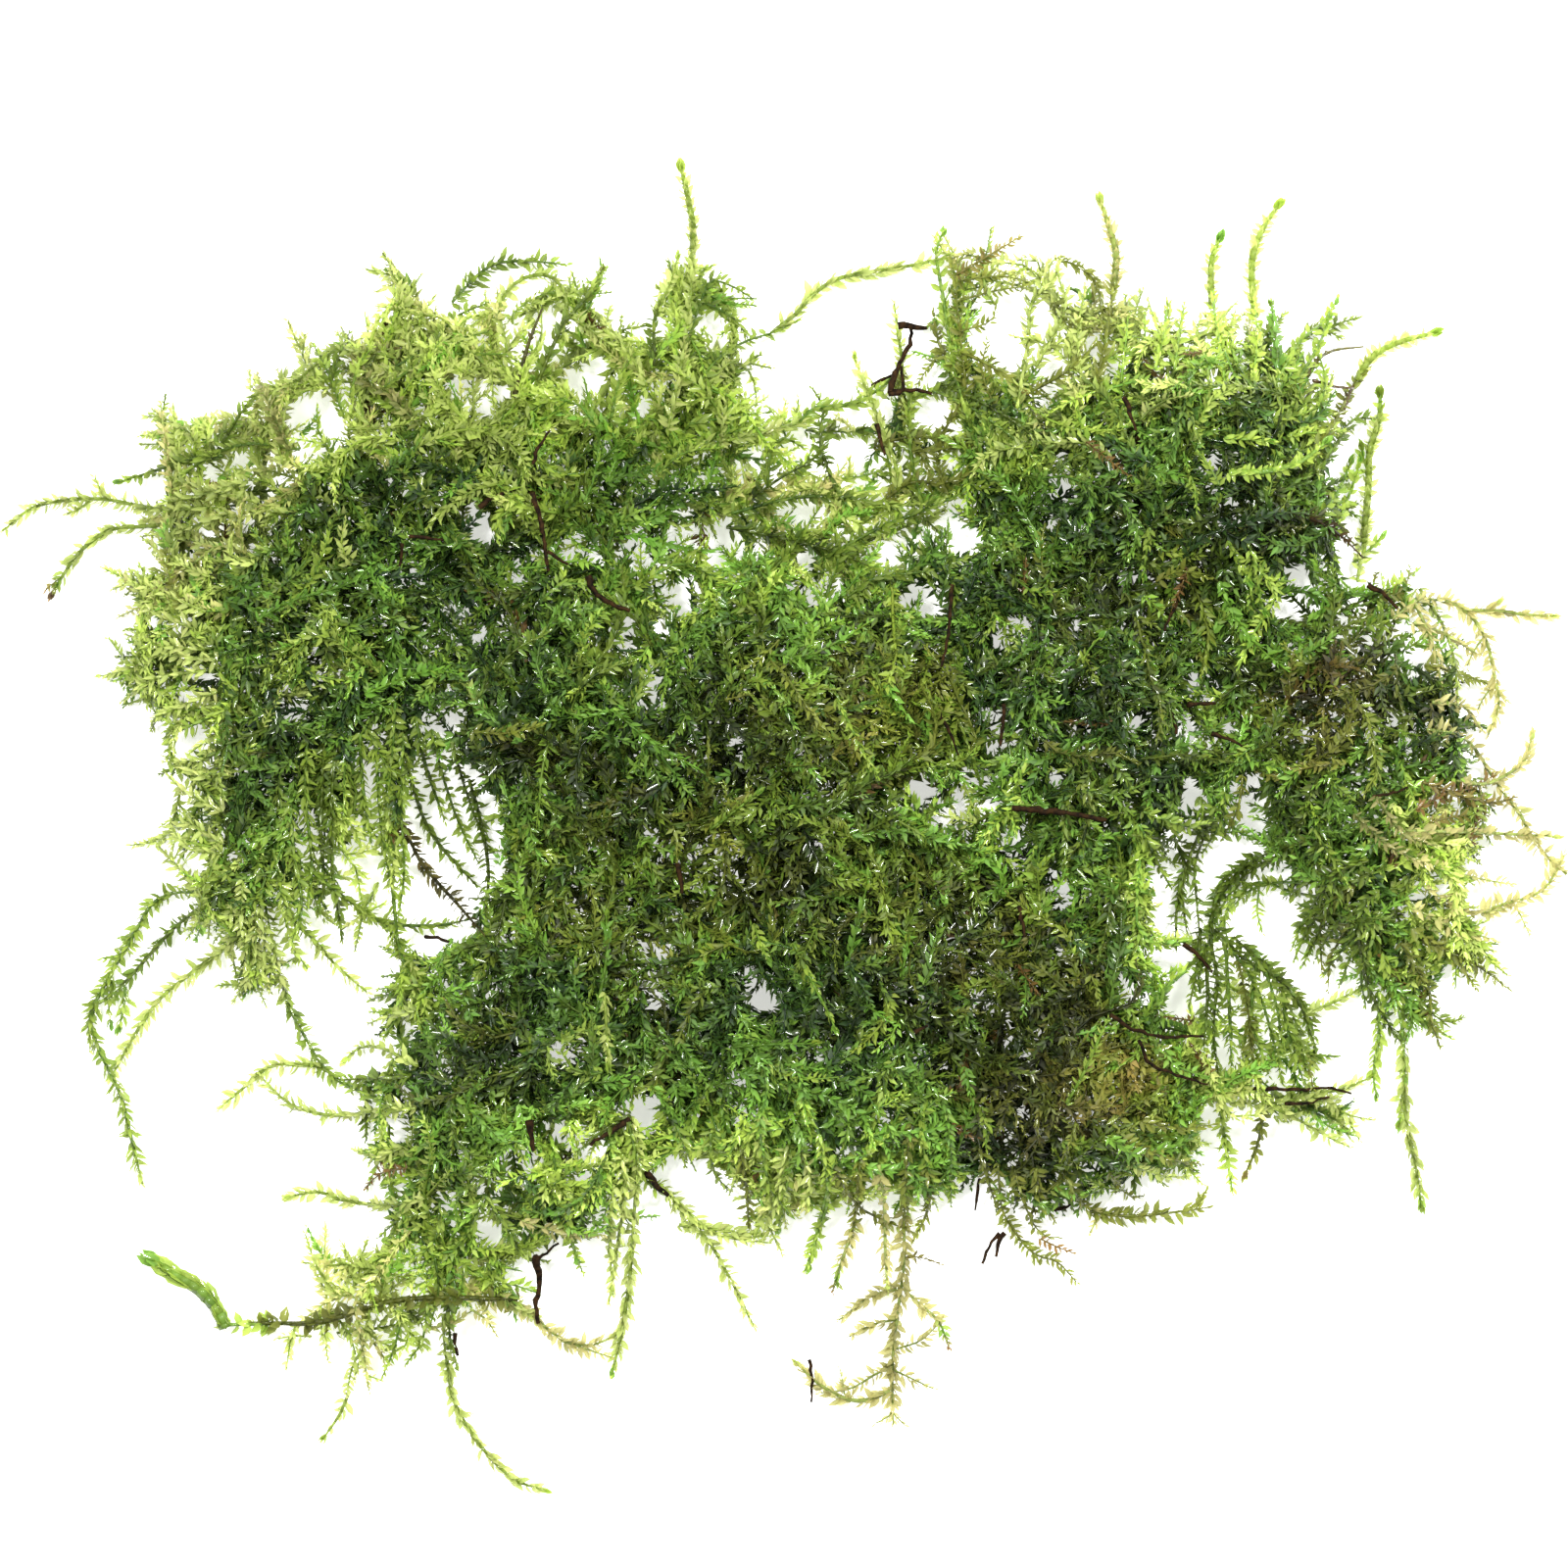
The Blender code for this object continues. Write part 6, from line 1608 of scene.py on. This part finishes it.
    @staticmethod
    def _keep(tracks: list[np.ndarray | None], depth: np.ndarray) -> list[tuple[np.ndarray, float]]:
        """Pair the tracks that found room with their depths."""
        return [(track, float(deep)) for track, deep in zip(tracks, depth) if track is not None]

    def _side_shoots(self, mains: list[tuple[np.ndarray, float]]) -> list[tuple[np.ndarray, float]]:
        """Grow side shoots from the main shoots, alternately left and right."""
        draws = self.weave.draws
        starts, headings, depths = [], [], []
        for track, depth in mains:
            side = 1.0 if draws.random() < 0.5 else -1.0
            node = int(draws.integers(*self.SIDE_FIRST))
            while node < len(track) - 3:
                run = track[node + 1] - track[node - 1]
                aside = math.radians(draws.normal(*self.SIDE_ANGLE))
                headings.append(math.atan2(run[1], run[0]) + side * aside)
                starts.append(track[node, :2])
                depths.append(depth)
                side = -side
                node += int(draws.integers(*self.SIDE_EVERY))
        length = draws.uniform(*self.SIDE_LENGTH, len(starts))
        depth = np.array(depths)
        tracks = self.weave.wander(np.array(starts), np.array(headings), length, depth, self.SIDE_SWAY)
        return self._keep(tracks, depth)

    def _coloured(self, track: np.ndarray, depth: float) -> Shoots:
        """Pick a shoot's stage and paleness from its tuft, its patches and its place, with painted light and
        shade for where it lies in the heap.
        """
        draws = self.weave.draws
        middle = track[len(track) // 2]
        place, pale = self.tuft.stage.place, self.tuft.pale
        for patch in PATCHES:
            near = math.hypot(middle[0] - patch.x, middle[1] - patch.y) / patch.reach
            share = patch.share * math.exp(-near ** 2)
            place += (patch.stage.place - place) * share
            pale += (patch.pale - pale) * share
        mottle = Vector((middle[0] / self.MOTTLE, middle[1] / self.MOTTLE, self.MOTTLE_LAYERS[0]))
        place += self.MOTTLE_STAGE * noise.noise(mottle)
        pale += self.MOTTLE_PALE * noise.noise(mottle + Vector((0.0, 0.0, self.MOTTLE_LAYERS[1])))
        # Painted glow: near the rim and the gaps, the stage is drawn to lime and the paleness raised, for
        # light shining through from the table.
        rim = float(self.heap.sample(self.heap.rim, middle[None, 0], middle[None, 1])[0])
        edge = math.exp(-rim / self.EDGE_REACH)
        place += (Stage.LIME.place - place) * self.EDGE_LIME * edge
        # Painted shade on shoots low in the heap, and painted light on the topmost ones.
        paler, crest = self.PAINTED_CREST_LIGHT
        pale += (self.EDGE_PALE * edge - self.PAINTED_DEPTH_SHADE * (1.0 - depth)
                 + paler * max(0.0, depth - crest) / (1.0 - crest))
        place += draws.normal(0.0, self.SCATTER[0])
        pale += draws.normal(0.0, self.SCATTER[1])
        if draws.random() < self.DEAD_SHARE:
            place, pale = Stage.RUSTY.place, self.DEAD_PALE
        elif draws.random() < self.BRIGHT_SHARE:
            place, pale = Stage.EMERALD.place, pale + self.BRIGHT_PALE
        size = float(draws.uniform(*self.SIZES)) * (1.0 + self.DEEP_GROWTH * (1.0 - depth))
        return self.weave.dress(track, float(np.clip(place, 0.0, 1.0)),
                                float(np.clip(pale, *self.PALE_LIMITS)), size)


class TrailingBuilder(ShootBuilder):
    """Builds one trailing shoot with its side shoots."""

    SEED = 400
    SIZES = (1.05, 1.2)  # leaf size of feathery and of other shoots
    ROLL = 0.2  # scatter of their roll, in radians

    def __init__(self, shoot: Trailing, index: int, heap: HeapMap) -> None:
        """Keep what the shoot is built from."""
        super().__init__(heap, self.SEED + index)
        self.shoot = shoot

    def build(self, material: bpy.types.Material) -> bpy.types.Object:
        """Lay the shoot and its side shoots, and join them."""
        shoot = self.shoot
        for habit, route in ((shoot.habit, shoot.route), *shoot.sides):
            size = self.SIZES[0 if habit is Habits.FEATHERY else 1]
            self._lay(Rim(habit, shoot.stage, shoot.pale, route), size, self.ROLL, tip=shoot.tip)
        return self.mesh.finish(shoot.name + "_leafy", material)


class TopBuilder(ShootBuilder):
    """Lays the single shoots that lie loose on top of the heap."""

    SEED = 990
    SIZE = 0.84  # leaf size
    OVER = 0.7  # how far they lie over the heap
    ROLL = 0.3  # scatter of their roll, in radians

    def __init__(self, shoots: tuple[Rim, ...], heap: HeapMap) -> None:
        """Keep the shoots."""
        super().__init__(heap, self.SEED)
        self.shoots = shoots

    def build(self, material: bpy.types.Material) -> bpy.types.Object:
        """Lay the shoots and join them."""
        for rim in self.shoots:
            self._lay(rim, self.SIZE, self.ROLL, self.OVER)
        return self.mesh.finish("shoots_on_top", material)


class StickBuilder:
    """Builds bare dead stems as knobbly tapering sticks."""

    SEED = 700
    SIDES = 2  # how finely a stick is rounded
    KNOBS = (-0.18, 0.3)  # how far its radius shrinks and swells
    TAPER = 0.45  # share of its radius that it loses to its tip
    WOBBLE = 0.06  # how far it strays sideways
    CLEARANCE = 0.1  # least distance to the table

    def __init__(self, name: str, sticks: tuple, index: int, heap: HeapMap) -> None:
        """Keep what the sticks are built from."""
        self.name = name
        self.sticks = sticks
        self.weave = Weave(heap, self.SEED + index)

    def build(self, material: bpy.types.Material) -> bpy.types.Object:
        """Sweep every stick along its route, join them and place them."""
        curve = bpy.data.curves.new(self.name, "CURVE")
        curve.dimensions = "3D"
        curve.bevel_depth = MM
        curve.bevel_resolution = self.SIDES
        curve.use_fill_caps = True
        for stick in self.sticks:
            self._sweep(curve, stick)
        holder = add_object(self.name + "_curve", curve)
        bpy.context.view_layer.update()
        swept = holder.evaluated_get(bpy.context.evaluated_depsgraph_get())
        mesh = bpy.data.meshes.new_from_object(swept)
        bpy.data.objects.remove(holder, do_unlink=True)
        mesh.name = self.name
        mesh.materials.clear()
        mesh.materials.append(material)
        mesh.shade_smooth()
        return add_object(self.name, mesh)

    def _sweep(self, curve: bpy.types.Curve, stick: Stick) -> None:
        """Add one stick as a spline whose radius swells at its old leaf scars."""
        track = self.weave.trace(stick.route)
        track[:, 2] += stick.over
        count = len(track)
        share = np.linspace(0.0, 1.0, count)
        knobs = 1.0 + self.weave.draws.uniform(*self.KNOBS, count)
        radius = stick.radius * (1.0 - self.TAPER * share) * knobs
        track[:, :2] += self.weave.draws.normal(0.0, self.WOBBLE, (count, 2))
        track[:, 2] = np.maximum(track[:, 2], radius + self.CLEARANCE)
        spline = curve.splines.new("POLY")
        spline.points.add(count - 1)
        for point, place, half in zip(spline.points, track, radius):
            point.co = (*(place * MM), 1.0)
            point.radius = float(half)


@dataclass(frozen=True)
class Lamp:
    """One small square lamp that shines at the origin: its name, place, side in metres and watts."""

    name: str
    place: tuple[float, float, float]
    side: float
    watts: float

    def build(self) -> None:
        """Hang the lamp."""
        light = bpy.data.lights.new(self.name, "AREA")
        light.energy = self.watts
        light.size = self.side
        lamp = add_object(self.name, light)
        lamp.location = self.place
        lamp.rotation_euler = (-Vector(self.place)).to_track_quat("-Z", "Y").to_euler()


@dataclass(frozen=True)
class Studio:
    """Pale table, soft white light from all round, two small lamps for the wet glints, and camera."""

    view_width: float = 0.1504
    view_centre: tuple = (0.0, 0.00423)
    camera_height: float = 0.8
    focus_height: float = 0.0015
    sensor: float = 36.0
    table_half: float = 3.0
    sky: float = 0.5
    key: Lamp = Lamp("key_lamp", (0.22, 0.3, 0.5), 0.12, 6.0)
    top: Lamp = Lamp("top_lamp", (-0.25, 0.1, 0.6), 0.1, 4.2)

    def build(self) -> None:
        """Make the table, the lights and the camera."""
        self._table()
        self._lights()
        self._camera()

    def _table(self) -> None:
        """Lay the table's top just under the heap."""
        bm = bmesh.new()
        bmesh.ops.create_grid(bm, x_segments=1, y_segments=1, size=self.table_half)
        mesh = bpy.data.meshes.new("table_top")
        bm.to_mesh(mesh)
        bm.free()
        mesh.materials.append(TableFinish().build())
        add_object("table_top", mesh)

    def _lights(self) -> None:
        """Hang the soft sky and the lamps."""
        world = bpy.data.worlds.new("soft_studio")
        world.use_nodes = True
        sky = world.node_tree.nodes["Background"]
        sky.inputs["Color"].default_value = linear("#ffffff")
        sky.inputs["Strength"].default_value = self.sky
        bpy.context.scene.world = world
        self.key.build()
        self.top.build()

    def _camera(self) -> None:
        """Hang the camera straight over the heap."""
        camera = bpy.data.cameras.new("camera")
        camera.sensor_width = self.sensor
        camera.lens = self.sensor * (self.camera_height - self.focus_height) / self.view_width
        holder = add_object("camera", camera)
        holder.location = (*self.view_centre, self.camera_height)
        bpy.context.scene.camera = holder
        bpy.context.scene.view_settings.view_transform = "Standard"


def settle(piece: bpy.types.Object, node: str | None) -> int:
    """Give a finished piece its body and hide the frame node that it stands for.

    Args:
        piece: the finished object.
        node: the node that it replaces, or None where it is an addition.

    Returns:
        The number of its triangles.
    """
    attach(piece, "root")
    if node is not None:
        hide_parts(node)
    triangles = len(piece.data.loops) - 2 * len(piece.data.polygons)
    LOG.info("%s: %d triangles", piece.name, triangles)
    return triangles


def main() -> None:
    """Build the clump, then the table, the light and the camera."""
    logging.basicConfig(level=logging.INFO, format="%(message)s")
    heap = HeapMap([tuft.name for tuft in TUFTS], GAPS)
    finishes = {
        "fresh_moss": LeafFinish("fresh_leaf", thinness=0.56).build(),
        "mature_moss": LeafFinish("mature_leaf", thinness=0.36).build(),
        "shaded_moss": LeafFinish("shaded_leaf", thinness=0.28).build(),
        "olive_moss": LeafFinish("olive_leaf", thinness=0.32).build(),
        "yellowing_moss": LeafFinish("yellowing_leaf", thinness=0.56).build(),
        "dead_stem": StemFinish().build(),
    }
    total = 0
    for index, tuft in enumerate(TUFTS):
        piece = TuftBuilder(tuft, index, heap).build(finishes[tuft.slot])
        total += settle(piece, tuft.name)
    for index, shoot in enumerate(TRAILING):
        piece = TrailingBuilder(shoot, index, heap).build(finishes[shoot.slot])
        total += settle(piece, shoot.name)
    for index, (name, sticks) in enumerate(STICK_NODES.items()):
        piece = StickBuilder(name + "_stick", sticks, index, heap).build(finishes["dead_stem"])
        total += settle(piece, name)
    piece = StickBuilder("loose_sticks", LOOSE_STICKS, LOOSE_INDEX, heap).build(finishes["dead_stem"])
    total += settle(piece, None)
    piece = TopBuilder(ON_TOP, heap).build(finishes["fresh_moss"])
    total += settle(piece, None)
    LOG.info("in all: %d triangles", total)
    Studio().build()


if __name__ == "__main__":
    main()
